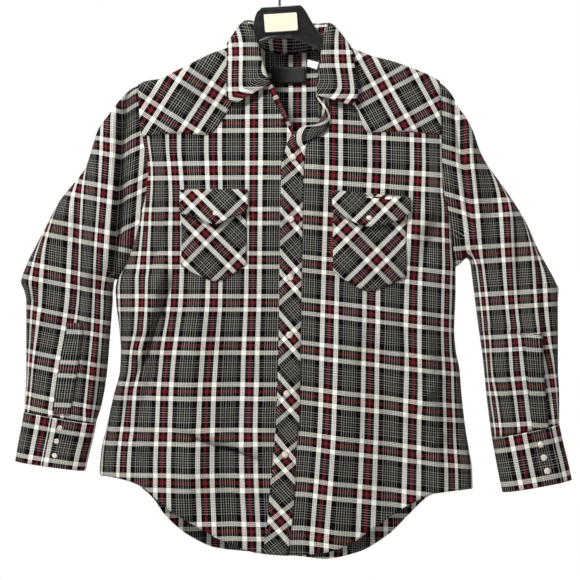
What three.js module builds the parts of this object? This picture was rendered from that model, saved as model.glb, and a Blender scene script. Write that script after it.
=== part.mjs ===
// Western snap shirt hanging on its hanger.
// Units are mm, Z is up, the shirt's front faces -Y, and the origin is the inner top of the hook.
import * as THREE from "three";

const shirt = new THREE.Group();
shirt.name = "western_snap_shirt";

// Driving sizes.
const WALL = 1.5; // wall of every large panel
const TRIM = 1.1; // wall of pockets, flaps, band and plackets
const SEAM = 0.4; // gap between sewn pieces
const LIFT = 0.9; // gap under a piece that lies on another
const ARMHOLE = { right: 1.5, left: 1 }; // gap between a sleeve and the body
const RIDGE = 14; // radius of the shoulder fold over the hanger's arms
const CHEST = 38; // how far the front stands out from the middle plane
const BLADE = 34; // the same for the back
const NECK_X = 14; // middle of the neck opening
const UNDERARM = { left: -478, right: -460 }; // height of the two underarm points

// Smooth curve through [key, value] pairs with no overshoot.
function curve(pairs) {
  const p = [...pairs].sort((a, b) => a[0] - b[0]);
  const n = p.length;
  const rise = [];
  for (let i = 0; i < n - 1; i++) rise.push((p[i + 1][1] - p[i][1]) / (p[i + 1][0] - p[i][0]));
  const slope = p.map((_, i) => {
    if (i === 0) return rise[0];
    if (i === n - 1) return rise[n - 2];
    const [a, b] = [rise[i - 1], rise[i]];
    return a * b <= 0 ? 0 : (2 * a * b) / (a + b);
  });
  return (k) => {
    if (k <= p[0][0]) return p[0][1];
    if (k >= p[n - 1][0]) return p[n - 1][1];
    let i = 0;
    while (k > p[i + 1][0]) i++;
    const w = p[i + 1][0] - p[i][0];
    const t = (k - p[i][0]) / w;
    const bend = w * t * (1 - t) * (slope[i] * (1 - t) - slope[i + 1] * t);
    const step = t * t * (3 - 2 * t);
    return p[i][1] * (1 - step) + p[i + 1][1] * step + bend;
  };
}

const clamp = (v, low = 0, high = 1) => Math.min(Math.max(v, low), high);
const mix = (a, b, t) => a + (b - a) * t;
const ease = (t) => clamp(t) ** 2 * (3 - 2 * clamp(t));
const bell = (d) => Math.exp(-d * d);

// Outline of the body in the front view. Each pair is [x, z] or [z, x].
const shoulderLine = curve([
  [-214, -186], [-202, -180], [-182, -177], [-157, -165], [-125, -149], [-97, -136], [-79, -130],
  [-44, -116], [-14, -104], [16, -98], [46, -105], [76, -117], [109, -130], [136, -141],
  [170, -150], [196, -159], [226, -171], [242, -180],
]);
const leftEdge = curve([
  [-186, -214], [-225, -212], [-262, -209], [-288, -202], [-312, -198], [-333, -199], [-360, -203],
  [-382, -209], [-405, -214], [-435, -223], [-465, -236], [-478, -245], [-495, -248], [-515, -247],
  [-555, -242], [-585, -240], [-615, -241], [-652, -250], [-705, -262], [-735, -269], [-765, -272],
]);
const rightEdge = curve([
  [-180, 242], [-225, 244], [-308, 245], [-345, 247], [-375, 254], [-412, 259], [-442, 263],
  [-460, 266], [-495, 266], [-555, 264], [-585, 266], [-615, 272], [-652, 275], [-705, 281],
  [-735, 286], [-765, 291], [-795, 292],
]);
const frontHem = curve([
  [-271, -774], [-227, -783], [-208, -795], [-182, -824], [-149, -844], [-119, -855], [-74, -882],
  [-29, -891], [16, -894], [65, -892], [106, -880], [143, -855], [188, -826], [236, -802], [292, -795],
]);
const backHem = curve([
  [-271, -777], [-224, -790], [-194, -814], [-176, -840], [-139, -872], [-97, -891], [-44, -897],
  [31, -904], [68, -908], [118, -898], [167, -870], [197, -840], [229, -810], [248, -802], [292, -797],
]);

// Largest folds of the front and back: a line from (x0, z0) to (x1, z1), its half width and its height.
const FOLDS = [
  { side: -1, x0: -165, z0: -495, x1: -244, z1: -680, width: 17, height: 11 },
  { side: -1, x0: -100, z0: -720, x1: -25, z1: -765, width: 15, height: 5 },
  { side: -1, x0: 120, z0: -540, x1: 255, z1: -700, width: 24, height: 6 },
  { side: 1, x0: -70, z0: -330, x1: -95, z1: -860, width: 34, height: 9 },
  { side: 1, x0: 110, z0: -330, x1: 125, z1: -850, width: 34, height: 9 },
];
function foldHeight(side, x, z) {
  let sum = 0;
  for (const f of FOLDS) {
    if (f.side !== side) continue;
    const length = Math.hypot(f.x1 - f.x0, f.z1 - f.z0);
    const [ux, uz] = [(f.x1 - f.x0) / length, (f.z1 - f.z0) / length];
    const on = (x - f.x0) * ux + (z - f.z0) * uz;
    const off = (x - f.x0) * uz - (z - f.z0) * ux;
    const fade = ease((on + 40) / 80) * ease((length + 40 - on) / 80);
    sum += f.height * bell(off / f.width) * fade;
  }
  return sum;
}

// One point of the body. across is 0 at the left seam and 1 at the right one.
// down is the length of cloth from the shoulder fold, over the front when side is -1, the back when it is 1.
function bodyPoint(side, across, down) {
  const turn = Math.min(Math.abs(down) / RIDGE, Math.PI / 2);
  const drop = RIDGE * (1 - Math.cos(turn)) + Math.max(Math.abs(down) - (RIDGE * Math.PI) / 2, 0);
  const face = down < 0 ? -side : side;
  let x = 10;
  let z = -300;
  let sheer = 0;
  const angle = Math.PI * clamp(Math.abs(across) > 1 ? 2 - across : Math.abs(across));
  const round = -Math.sign(Math.cos(angle)) * Math.abs(Math.cos(angle)) ** 0.8;
  for (let pass = 0; pass < 12; pass++) {
    z = shoulderLine(x) - drop;
    const middle = x < NECK_X ? UNDERARM.left : UNDERARM.right;
    sheer = ease((z - middle) / 120);
    const run = mix(round, 2 * across - 1, sheer);
    x = mix(leftEdge(z), rightEdge(z), (run + 1) / 2);
  }
  const run = clamp(((x - leftEdge(z)) / (rightEdge(z) - leftEdge(z))) * 2 - 1, -1, 1);
  const outside = across < 0 || across > 1 ? -1 : 1;
  const shut = outside * Math.sin(angle) ** 0.8;
  const open = 1 - 0.38 * Math.abs(run) ** 4;
  const armhole = clamp((z - (x < NECK_X ? UNDERARM.left : UNDERARM.right)) / 120);
  const profile = mix(shut, Math.max(open, 0), Math.sqrt(ease(armhole)));
  const full = (side < 0 ? CHEST : BLADE) - RIDGE;
  const neck = (face < 0 ? 10 : 26) * bell((x - NECK_X) / 46) * ease(drop / 30) * (1 - ease(drop / 260));
  const fold = foldHeight(face, x, z) * ease(1.6 * (1 - Math.abs(run)));
  const depth = RIDGE * Math.sin(turn) + (full * ease(drop / 300) + neck) * (turn < 1.5 ? turn / 1.5 : 1);
  return new THREE.Vector3(x, face * (depth * profile + fold), z);
}

// The body's outward normal, and a point moved out along it.
function bodyNormal(side, across, down) {
  const a = bodyPoint(side, across - 0.004, down);
  const b = bodyPoint(side, across + 0.004, down);
  const c = bodyPoint(side, across, down - 1.5);
  const d = bodyPoint(side, across, down + 1.5);
  const n = b.sub(a).cross(d.sub(c));
  if (side < 0) n.negate();
  return n.normalize();
}
function onBody(side, across, down, out) {
  return bodyPoint(side, across, down).addScaledVector(bodyNormal(side, across, down), out);
}

// Finds the body's own coordinates of a point seen at (x, z).
function locate(side, x, z) {
  const drop = Math.max(shoulderLine(x) - z, 0);
  const down = drop < RIDGE ? RIDGE * Math.acos(1 - drop / RIDGE) : drop + RIDGE * (Math.PI / 2 - 1);
  let low = 0;
  let high = 1;
  for (let pass = 0; pass < 26; pass++) {
    const middle = (low + high) / 2;
    if (bodyPoint(side, middle, down).x < x) low = middle;
    else high = middle;
  }
  return [(low + high) / 2, down];
}
function seen(side, x, z, out) {
  const [across, down] = locate(side, x, z);
  return onBody(side, across, down, out);
}

// Closed solid between two grids of points, outer and inner. wrap joins the last row to the first.
function solid(name, outer, inner, wrap = false) {
  const rows = outer.length;
  const cols = outer[0].length;
  const points = [...outer.flat(), ...inner.flat()];
  const at = (k, i, j) => k * rows * cols + (i % rows) * cols + j;
  const faces = [];
  const quad = (a, b, c, d) => faces.push(a, b, c, a, c, d);
  const last = wrap ? rows : rows - 1;
  for (let i = 0; i < last; i++) {
    for (let j = 0; j < cols - 1; j++) {
      quad(at(0, i, j), at(0, i + 1, j), at(0, i + 1, j + 1), at(0, i, j + 1));
      quad(at(1, i, j), at(1, i, j + 1), at(1, i + 1, j + 1), at(1, i + 1, j));
    }
    quad(at(0, i, 0), at(1, i, 0), at(1, i + 1, 0), at(0, i + 1, 0));
    quad(at(0, i, cols - 1), at(0, i + 1, cols - 1), at(1, i + 1, cols - 1), at(1, i, cols - 1));
  }
  if (!wrap) {
    for (let j = 0; j < cols - 1; j++) {
      quad(at(0, 0, j), at(0, 0, j + 1), at(1, 0, j + 1), at(1, 0, j));
      quad(at(0, rows - 1, j), at(1, rows - 1, j), at(1, rows - 1, j + 1), at(0, rows - 1, j + 1));
    }
  }
  let volume = 0;
  for (let f = 0; f < faces.length; f += 3) {
    const [a, b, c] = [points[faces[f]], points[faces[f + 1]], points[faces[f + 2]]];
    volume += a.dot(b.clone().cross(c));
  }
  if (volume < 0) faces.reverse();
  const geometry = new THREE.BufferGeometry();
  geometry.setAttribute("position", new THREE.Float32BufferAttribute(points.flatMap((p) => [p.x, p.y, p.z]), 3));
  geometry.setIndex(faces);
  const mesh = new THREE.Mesh(geometry);
  mesh.name = name;
  shirt.add(mesh);
  return mesh;
}

// A grid of values made by calling point(u, v) with u and v from 0 to 1.
function grid(rows, cols, point) {
  return Array.from({ length: rows + 1 }, (_, i) =>
    Array.from({ length: cols + 1 }, (_, j) => point(i / rows, j / cols)),
  );
}

// A panel that lies on the body between a left and a right edge, x by z, and a top and a bottom edge, z by x.
// crowd above 1 packs the rows towards the top, where a yoke rounds the shoulder.
// stops lists the x of its columns along the line called seam, so that two panels share one seam exactly.
function panel(name, side, { left, right, top, bottom, rows, cols, stops, seam, crowd = 1, out = 0, wall = WALL }) {
  const share = (x) => clamp((x - left(seam(x))) / (right(seam(x)) - left(seam(x))));
  const steps = stops ? [0, ...stops.map(share).filter((u) => u > 0.01 && u < 0.99), 1] : null;
  const count = steps ? steps.length - 1 : cols;
  const place = (i, v) => {
    const u = steps ? steps[Math.round(i * count)] : i;
    let x = mix(left(-400), right(-400), u);
    let z = -400;
    for (let pass = 0; pass < 30; pass++) {
      const z2 = mix(top(x), bottom(x), v ** crowd);
      z = mix(z, z2, 0.7);
      x = mix(x, mix(left(z), right(z), u), 0.7);
    }
    return locate(side, clamp(x, leftEdge(z), rightEdge(z)), z);
  };
  const places = grid(count, rows, place);
  for (const line of places) {
    for (const p of line) {
      if (p[0] < 0.0006) p[0] = 0;
      if (p[0] > 0.9994) p[0] = 1;
    }
  }
  const layer = (o) => places.map((line) => line.map(([a, d]) => onBody(side, a, d, o)));
  return solid(name, layer(out), layer(out - wall));
}

// Yoke seams and the neck edges of the two fronts, z by x.
const yokeSeamRight = curve([
  [-215, -264], [-154, -259], [-108, -262], [-100, -257], [-89, -243], [-79, -228], [-59, -198], [-37, -168],
]);
const yokeSeamLeft = curve([
  [64, -170], [98, -207], [116, -222], [124, -243], [130, -256], [138, -258], [176, -256], [245, -260],
]);
const neckRight = curve([[-60, -190], [-37, -166], [-26, -168], [-14, -182], [4, -218], [20, -256], [32, -290]]);
const neckLeft = curve([[36, -282], [44, -262], [56, -245], [62, -205], [66, -176], [72, -172]]);
const neckBack = curve([[-54, -118], [-40, -121], [-20, -129], [14, -133], [48, -129], [68, -121], [80, -118]]);
const backSeam = curve([[-213, -268], [14, -305], [245, -262]]);
const inset = SEAM / 2;
const away = (line, by) => (k) => line(k) + by;
const ridge = (x) => shoulderLine(x) - RIDGE * (1 - Math.cos(inset / RIDGE));
const level = (value) => () => value;

// Edges of the band that closes the front, x by z. Its top rolls open towards the collar.
const bandLeft = curve([
  [-890, -25], [-840, -18], [-795, -14], [-741, -9], [-687, -5], [-555, -1], [-390, 1], [-304, 3], [-288, 8],
]);
const bandRight = curve([
  [-890, 13], [-840, 19], [-795, 23], [-741, 25], [-687, 30], [-555, 32], [-390, 35], [-304, 37], [-270, 42],
]);

// Where the columns of the fronts and yokes cross the yoke seams.
const STOPS_RIGHT = [-197, -178, -156, -134, -116, -106, -100, -94, -88, -78, -68, -58, -48, -38, -27, -16, -6, 4, 13, 22];
const STOPS_LEFT = [42, 50, 58, 66, 76, 88, 100, 110, 117, 121, 125, 129, 134, 142, 160, 178, 200, 222];

panel("front_right", -1, {
  left: away(leftEdge, inset),
  right: away(bandRight, -5),
  top: (x) => Math.min(yokeSeamRight(x), neckRight(x)) - inset,
  bottom: frontHem,
  rows: 17,
  stops: STOPS_RIGHT,
  seam: yokeSeamRight,
});
panel("front_left", -1, {
  left: away(bandRight, -4.4),
  right: away(rightEdge, -inset),
  top: (x) => Math.min(yokeSeamLeft(x), neckLeft(x)) - inset,
  bottom: frontHem,
  rows: 17,
  stops: STOPS_LEFT,
  seam: yokeSeamLeft,
});
panel("front_band", -1, {
  left: bandLeft,
  right: bandRight,
  top: level(-288),
  bottom: frontHem,
  rows: 26,
  cols: 2,
  out: LIFT + TRIM,
  wall: TRIM,
});
panel("yoke_front_right", -1, {
  left: away(leftEdge, inset),
  right: curve([[-168, -38], [-134, -46], [-116, -53]]),
  top: ridge,
  bottom: away(yokeSeamRight, inset),
  rows: 8,
  crowd: 2.2,
  stops: STOPS_RIGHT.filter((x) => x < -40),
  seam: yokeSeamRight,
});
panel("yoke_front_left", -1, {
  left: curve([[-170, 66], [-118, 76]]),
  right: away(rightEdge, -inset),
  top: ridge,
  bottom: away(yokeSeamLeft, inset),
  rows: 8,
  crowd: 2.2,
  stops: STOPS_LEFT.filter((x) => x > 68),
  seam: yokeSeamLeft,
});
panel("yoke_back", 1, {
  left: away(leftEdge, inset),
  right: away(rightEdge, -inset),
  top: (x) => Math.min(ridge(x), neckBack(x)),
  bottom: away(backSeam, inset),
  rows: 9,
  crowd: 2.2,
  cols: 20,
});
panel("back", 1, {
  left: away(leftEdge, inset),
  right: away(rightEdge, -inset),
  top: away(backSeam, -inset),
  bottom: backHem,
  rows: 15,
  cols: 20,
});

// A tube of cloth from named rings. Each ring has its outer and inner point in the front view
// and how far it stands out to the front and the back. turn is 0 at the outer point, half a turn at the inner.
function tube(rings, first) {
  const names = ["ox", "oz", "ix", "iz", "front", "back"];
  const track = {};
  for (const key of names) track[key] = curve(rings.map((ring, i) => [i, ring[names.indexOf(key)]]));
  const plain = (k, turn) => {
    const c = Math.sign(Math.cos(turn)) * Math.abs(Math.cos(turn)) ** 0.8;
    const s = Math.sign(Math.sin(turn)) * Math.abs(Math.sin(turn)) ** 0.8;
    return new THREE.Vector3(
      mix(track.ix(k), track.ox(k), (1 + c) / 2),
      s > 0 ? -s * track.front(k) : -s * track.back(k),
      mix(track.iz(k), track.oz(k), (1 + c) / 2),
    );
  };
  const point = (k, turn) => {
    const p = plain(k, turn);
    if (first && k < 3) {
      const shift = first(turn).sub(plain(0, turn));
      p.addScaledVector(shift, 1 - ease(Math.max(k, 0) / 3));
    }
    return p;
  };
  const last = rings.length - 1;
  const normal = (k, turn) => {
    const a = point(Math.max(k - 0.05, 0), turn);
    const b = point(Math.min(k + 0.05, last), turn);
    const c = point(k, turn - 0.03);
    const d = point(k, turn + 0.03);
    const n = b.sub(a).cross(d.sub(c)).normalize();
    const middle = point(k, 0).add(point(k, Math.PI)).multiplyScalar(0.5);
    return n.dot(point(k, turn).sub(middle)) < 0 ? n.negate() : n;
  };
  const at = (k, turn, out) => point(k, turn).addScaledVector(normal(k, turn), out);
  return { at, normal, last };
}

// The ring and turn of the point of a tube's front that is seen at (x, z).
function findOnTube(t, x, z) {
  let k = t.last / 2;
  let turn = Math.PI / 2;
  for (let pass = 0; pass < 10; pass++) {
    let [low, high] = [0.02, Math.PI - 0.02];
    const rightwards = t.at(k, Math.PI, 0).x > t.at(k, 0, 0).x;
    for (let i = 0; i < 18; i++) {
      turn = (low + high) / 2;
      if (t.at(k, turn, 0).x < x === rightwards) low = turn;
      else high = turn;
    }
    [low, high] = [0, t.last];
    for (let i = 0; i < 18; i++) {
      k = (low + high) / 2;
      if (t.at(k, turn, 0).z > z) low = k;
      else high = k;
    }
  }
  return [k, turn];
}

// The armhole's edge of the body as the first ring of a sleeve.
function armhole(across) {
  const foot = across < 0.5 ? UNDERARM.left : UNDERARM.right;
  const topZ = shoulderLine(across < 0.5 ? -214 : 242);
  const long = topZ - foot + RIDGE * (Math.PI / 2 - 1);
  const step = across < 0.5 ? 0.01 : -0.01;
  const gap = across < 0.5 ? ARMHOLE.right : ARMHOLE.left;
  return (turn) => {
    const side = Math.sin(turn) > 0 ? -1 : 1;
    const down = (long * (1 - Math.cos(turn))) / 2;
    const edge = bodyPoint(side, across, down);
    const inward = bodyPoint(side, across + step, down);
    return edge.addScaledVector(edge.clone().sub(inward).normalize(), gap);
  };
}

// Sleeves. Columns: outer x and z, inner x and z, front and back depth, from the armhole to the cuff seam.
const SLEEVE_RIGHT = [
  [-217, -187, -245, -478, 16, 18],
  [-226, -191, -248, -478, 18, 22],
  [-240, -205, -249, -478, 21, 25],
  [-257, -228, -250, -478, 28, 27],
  [-274, -252, -250, -478, 33, 29],
  [-283, -280, -251, -479, 35, 30],
  [-293, -310, -251, -479, 36, 30],
  [-308, -330, -251, -480, 36, 30],
  [-332, -360, -252, -481, 35, 30],
  [-350, -393, -252, -483, 34, 30],
  [-365, -422, -253, -487, 33, 29],
  [-382, -456, -253, -492, 31, 28],
  [-391, -482, -254, -499, 29, 27],
  [-386, -496, -254, -509, 28, 26],
  [-383, -514, -255, -523, 28, 26],
  [-383, -560, -258, -560, 27, 26],
  [-383, -618, -263, -620, 26, 25],
  [-385, -660, -271, -668, 25, 24],
  [-386, -679, -280, -697, 24, 23],
];
const SLEEVE_LEFT = [
  [246, -183, 266, -460, 16, 18],
  [253, -188, 268, -459, 18, 22],
  [261, -198, 270, -458, 21, 25],
  [272, -219, 272, -457, 28, 27],
  [283, -235, 273, -456, 33, 29],
  [293, -254, 274, -455, 35, 30],
  [303, -283, 276, -453, 36, 30],
  [312, -301, 278, -451, 36, 30],
  [334, -332, 280, -449, 35, 30],
  [355, -362, 282, -447, 34, 30],
  [373, -392, 284, -447, 33, 29],
  [393, -436, 287, -449, 31, 28],
  [418, -482, 290, -458, 29, 27],
  [423, -495, 291, -466, 28, 26],
  [422, -514, 293, -482, 28, 26],
  [422, -562, 301, -545, 27, 26],
  [422, -612, 309, -604, 26, 25],
  [424, -655, 314, -655, 25, 24],
  [424, -698, 322, -719, 24, 23],
];
const AROUND = 20;
function sleeve(name, rings, across) {
  const t = tube(rings, armhole(across));
  const layer = (out) =>
    grid(AROUND, t.last, (u, v) => t.at(v * t.last, u * 2 * Math.PI, out)).slice(0, AROUND);
  solid(name, layer(0), layer(-WALL), true);
  return t;
}
const sleeveRight = sleeve("sleeve_right", SLEEVE_RIGHT, 0);
const sleeveLeft = sleeve("sleeve_left", SLEEVE_LEFT, 1);

// Cuffs lap over themselves: the end that shows starts at the turn called start and hides the other end.
const CUFF_RIGHT = [
  [-386, -679.5, -280, -697.5, 24, 23],
  [-390, -704, -285, -721, 24, 23],
  [-395, -729, -291, -745, 24, 23],
  [-399, -754, -296, -768, 25, 23],
];
const CUFF_LEFT = [
  [424, -698.5, 322, -719.5, 24, 23],
  [430, -726, 327, -746, 24, 23],
  [437, -754, 332, -773, 24, 23],
  [443, -782, 338, -801, 25, 23],
];
const LAP = { over: 0.55, fade: 1.1 };
function cuff(name, rings, start) {
  const t = tube(rings);
  const lift = (turn) => (WALL + LIFT) * (1 - ease((turn - LAP.over - 0.1) / LAP.fade));
  const layer = (out) =>
    grid(24, 3, (u, v) => {
      const turn = u * (2 * Math.PI + LAP.over);
      return t.at(v * t.last, start + turn, out + lift(turn));
    });
  solid(name, layer(0), layer(-WALL));
  return t;
}
const cuffRight = cuff("cuff_right", CUFF_RIGHT, 1.45);
const cuffLeft = cuff("cuff_left", CUFF_LEFT, 0.95);

// Sleeve plackets: a strip above each cuff, left and right edge x by z.
function placket(name, t, left, right, from, to) {
  const places = grid(2, 7, (u, v) => {
    const z = mix(from, to, v);
    return findOnTube(t, mix(left(z), right(z), u), z);
  });
  const layer = (out) => places.map((line) => line.map(([k, turn]) => t.at(k, turn, out)));
  solid(name, layer(LIFT + TRIM), layer(LIFT));
}
placket(
  "sleeve_placket_right",
  sleeveRight,
  curve([[-683, -340], [-630, -334], [-555, -319]]),
  curve([[-683, -316], [-660, -311], [-615, -304], [-555, -295]]),
  -545,
  -680,
);
placket(
  "sleeve_placket_left",
  sleeveLeft,
  curve([[-703, 380], [-620, 372], [-520, 366]]),
  curve([[-703, 404], [-620, 396], [-520, 390]]),
  -560,
  -703,
);

// Chest pockets and their flaps, cut on the bias with pointed lower edges. Edges are z by x.
const POCKETS = {
  pocket_right: {
    x0: -147,
    x1: -49,
    top: -352,
    low: [[-147, -460], [-119, -474], [-95, -482], [-82, -478], [-49, -456]],
  },
  pocket_left: {
    x0: 80,
    x1: 190,
    top: -356,
    low: [[80, -468], [98, -480], [134, -497], [170, -484], [190, -476]],
  },
};
for (const [name, p] of Object.entries(POCKETS)) {
  panel(name, -1, {
    left: level(p.x0),
    right: level(p.x1),
    top: level(p.top),
    bottom: curve(p.low),
    rows: 5,
    cols: 6,
    out: LIFT + TRIM,
    wall: TRIM,
  });
}
const FLAPS = {
  pocket_flap_right: {
    x0: -149,
    x1: -47,
    high: [[-149, -345], [-47, -345]],
    low: [[-149, -380], [-127, -387], [-94, -397], [-74, -388], [-59, -384], [-47, -374]],
  },
  pocket_flap_left: {
    x0: 79,
    x1: 196,
    high: [[79, -346], [196, -357]],
    low: [[79, -379], [98, -388], [131, -401], [158, -397], [181, -389], [196, -379]],
  },
};
for (const [name, p] of Object.entries(FLAPS)) {
  panel(name, -1, {
    left: level(p.x0),
    right: level(p.x1),
    top: curve(p.high),
    bottom: curve(p.low),
    rows: 3,
    cols: 6,
    out: 2 * (LIFT + TRIM),
    wall: TRIM,
  });
}

// Snaps: one lathed cap each, standing on the cloth along its normal.
const SNAP = { radius: 5.3, rim: 1.1, height: 2.3 };
function snap(name, base, normal) {
  const profile = [
    [0, 0],
    [SNAP.radius, 0],
    [SNAP.radius, SNAP.rim],
    [SNAP.radius * 0.8, SNAP.rim * 1.25],
    [SNAP.radius * 0.42, SNAP.height * 0.93],
    [0, SNAP.height],
  ].map(([r, h]) => new THREE.Vector2(r, h));
  const mesh = new THREE.Mesh(new THREE.LatheGeometry(profile, 12));
  mesh.name = name;
  mesh.quaternion.setFromUnitVectors(new THREE.Vector3(0, 1, 0), normal);
  mesh.position.copy(base).addScaledVector(normal, SEAM);
  shirt.add(mesh);
}
const BAND_SNAPS = [[20, -296], [17, -389], [16, -476], [15, -562], [11, -650], [8, -741]];
BAND_SNAPS.forEach(([x, z], i) => {
  const [across, down] = locate(-1, x, z);
  snap(`snap_front_${i + 1}`, onBody(-1, across, down, LIFT + TRIM), bodyNormal(-1, across, down));
});
const FLAP_SNAPS = { snap_flap_right: [-94, -382], snap_flap_left: [133, -389] };
for (const [name, [x, z]] of Object.entries(FLAP_SNAPS)) {
  const [across, down] = locate(-1, x, z);
  snap(name, onBody(-1, across, down, 2 * (LIFT + TRIM)), bodyNormal(-1, across, down));
}
const CUFF_SNAPS = [
  ["right", cuffRight, [[-330, -702], [-335, -722], [-338, -744]]],
  ["left", cuffLeft, [[392, -727], [397, -747], [402, -767]]],
];
for (const [side, t, spots] of CUFF_SNAPS) {
  spots.forEach(([x, z], i) => {
    const [k, turn] = findOnTube(t, x, z);
    snap(`snap_cuff_${side}_${i + 1}`, t.at(k, turn, WALL + LIFT), t.normal(k, turn));
  });
}

// Collar. Each station, from the front end at the left of the view round the neck to the other,
// has the foot of the stand, the fold between stand and leaf, and the leaf's outer edge.
const COLLAR = [
  { foot: [-22, -23, -168], fold: [-14, -28, -186], edge: [-62, -30, -213] },
  { foot: [-27, -19, -162], fold: [-20, -26, -168], edge: [-78, -30, -211] },
  { foot: [-31, -16, -151], fold: [-28, -21, -142], edge: [-80, -27, -178] },
  { foot: [-40, -13, -130], fold: [-38, -14, -107], edge: [-79, -21, -140] },
  { foot: [-50, -1, -112], fold: [-50, 1, -88], edge: [-79, -6, -122] },
  { foot: [-38, 17, -119], fold: [-43, 18, -84], edge: [-72, 16, -116] },
  { foot: [-20, 31, -127], fold: [-27, 35, -84], edge: [-54, 40, -122] },
  { foot: [14, 38, -131], fold: [14, 45, -83], edge: [14, 54, -132] },
  { foot: [48, 31, -127], fold: [53, 35, -86], edge: [82, 40, -123] },
  { foot: [68, 17, -119], fold: [71, 18, -88], edge: [99, 14, -117] },
  { foot: [75, -1, -114], fold: [74, 1, -92], edge: [105, -8, -123] },
  { foot: [65, -11, -138], fold: [67, -13, -112], edge: [110, -21, -139] },
  { foot: [60, -13, -162], fold: [62, -20, -146], edge: [114, -27, -165] },
  { foot: [57, -19, -190], fold: [58, -26, -178], edge: [118, -30, -200] },
  { foot: [54, -21, -214], fold: [56, -28, -203], edge: [108, -31, -218] },
];
const collarTrack = {};
for (const part of ["foot", "fold", "edge"]) {
  collarTrack[part] = [0, 1, 2].map((axis) => curve(COLLAR.map((row, i) => [i, row[part][axis]])));
}
const collarPoint = (part, k) => new THREE.Vector3(...collarTrack[part].map((line) => line(k)));
const ENDS = COLLAR.length - 1;
function leafPoint(u, v) {
  const k = u * ENDS;
  const fold = collarPoint("fold", k);
  const edge = collarPoint("edge", k);
  const p = fold.clone().lerp(edge, v);
  const along = collarPoint("fold", Math.min(k + 0.1, ENDS)).sub(collarPoint("fold", Math.max(k - 0.1, 0)));
  const up = edge.clone().sub(fold).cross(along).normalize();
  if (up.z + (k > 3.8 && k < 10.2 ? up.y : -up.y) < 0) up.negate();
  p.addScaledVector(up, 4 * Math.sin(Math.PI * Math.sqrt(v)));
  if (p.z < shoulderLine(p.x) - 1 && v > 0.2) {
    const front = p.y < 0;
    const cloth = seen(front ? -1 : 1, p.x, p.z, 0).y;
    p.y = front ? Math.min(p.y, cloth - 3.2) : Math.max(p.y, cloth + 3.2);
  }
  return p;
}
function sheetSolid(name, rows, cols, point, wall) {
  const e = 0.01;
  const normal = (u, v) => {
    const a = point(Math.min(u + e, 1), v).sub(point(Math.max(u - e, 0), v));
    const b = point(u, Math.min(v + e, 1)).sub(point(u, Math.max(v - e, 0)));
    return a.cross(b).normalize();
  };
  const layer = (out) => grid(rows, cols, (u, v) => point(u, v).addScaledVector(normal(u, v), out));
  return solid(name, layer(wall / 2), layer(-wall / 2));
}
sheetSolid("collar_leaf", 30, 5, leafPoint, WALL);
sheetSolid(
  "collar_stand",
  26,
  2,
  (u, v) => {
    const fold = collarPoint("fold", u * ENDS);
    const foot = collarPoint("foot", u * ENDS);
    const short = 3 / fold.distanceTo(foot);
    return foot.lerp(fold, mix(0, 1 - short, v));
  },
  TRIM,
);

// Neck label and its small size tab, sewn to the inside of the back yoke. Both are bare.
function patch(name, corners, out, wall) {
  const [a, b, c, d] = corners;
  const places = grid(4, 2, (u, v) => {
    const x = mix(mix(a[0], b[0], u), mix(d[0], c[0], u), v);
    const z = mix(mix(a[1], b[1], u), mix(d[1], c[1], u), v);
    return locate(1, x, z);
  });
  const layer = (o) => places.map((line) => line.map(([across, down]) => onBody(1, across, down, o)));
  solid(name, layer(out), layer(out - wall));
}
patch("neck_label", [[-13, -152], [41, -152], [41, -178], [-13, -178]], -WALL - 1.2, 0.8);
patch("size_tab", [[44, -141], [61, -147], [58, -158], [43, -152]], -WALL - 0.8, 0.6);

// A closed solid through rings of equal length, for the hanger's body and hook.
function rings(name, rows) {
  const around = rows[0].length;
  const faces = [];
  for (let i = 0; i < rows.length - 1; i++) {
    for (let j = 0; j < around; j++) {
      const [a, b] = [i * around + j, i * around + ((j + 1) % around)];
      faces.push(a, b, b + around, a, b + around, a + around);
    }
  }
  const end = (rows.length - 1) * around;
  for (let j = 1; j < around - 1; j++) {
    faces.push(0, j + 1, j);
    faces.push(end, end + j, end + j + 1);
  }
  const points = rows.flat();
  let volume = 0;
  for (let f = 0; f < faces.length; f += 3) {
    const [a, b, c] = [points[faces[f]], points[faces[f + 1]], points[faces[f + 2]]];
    volume += a.dot(b.clone().cross(c));
  }
  if (volume < 0) faces.reverse();
  const geometry = new THREE.BufferGeometry();
  geometry.setAttribute("position", new THREE.Float32BufferAttribute(points.flatMap((p) => [p.x, p.y, p.z]), 3));
  geometry.setIndex(faces);
  const mesh = new THREE.Mesh(geometry);
  mesh.name = name;
  shirt.add(mesh);
}

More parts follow.
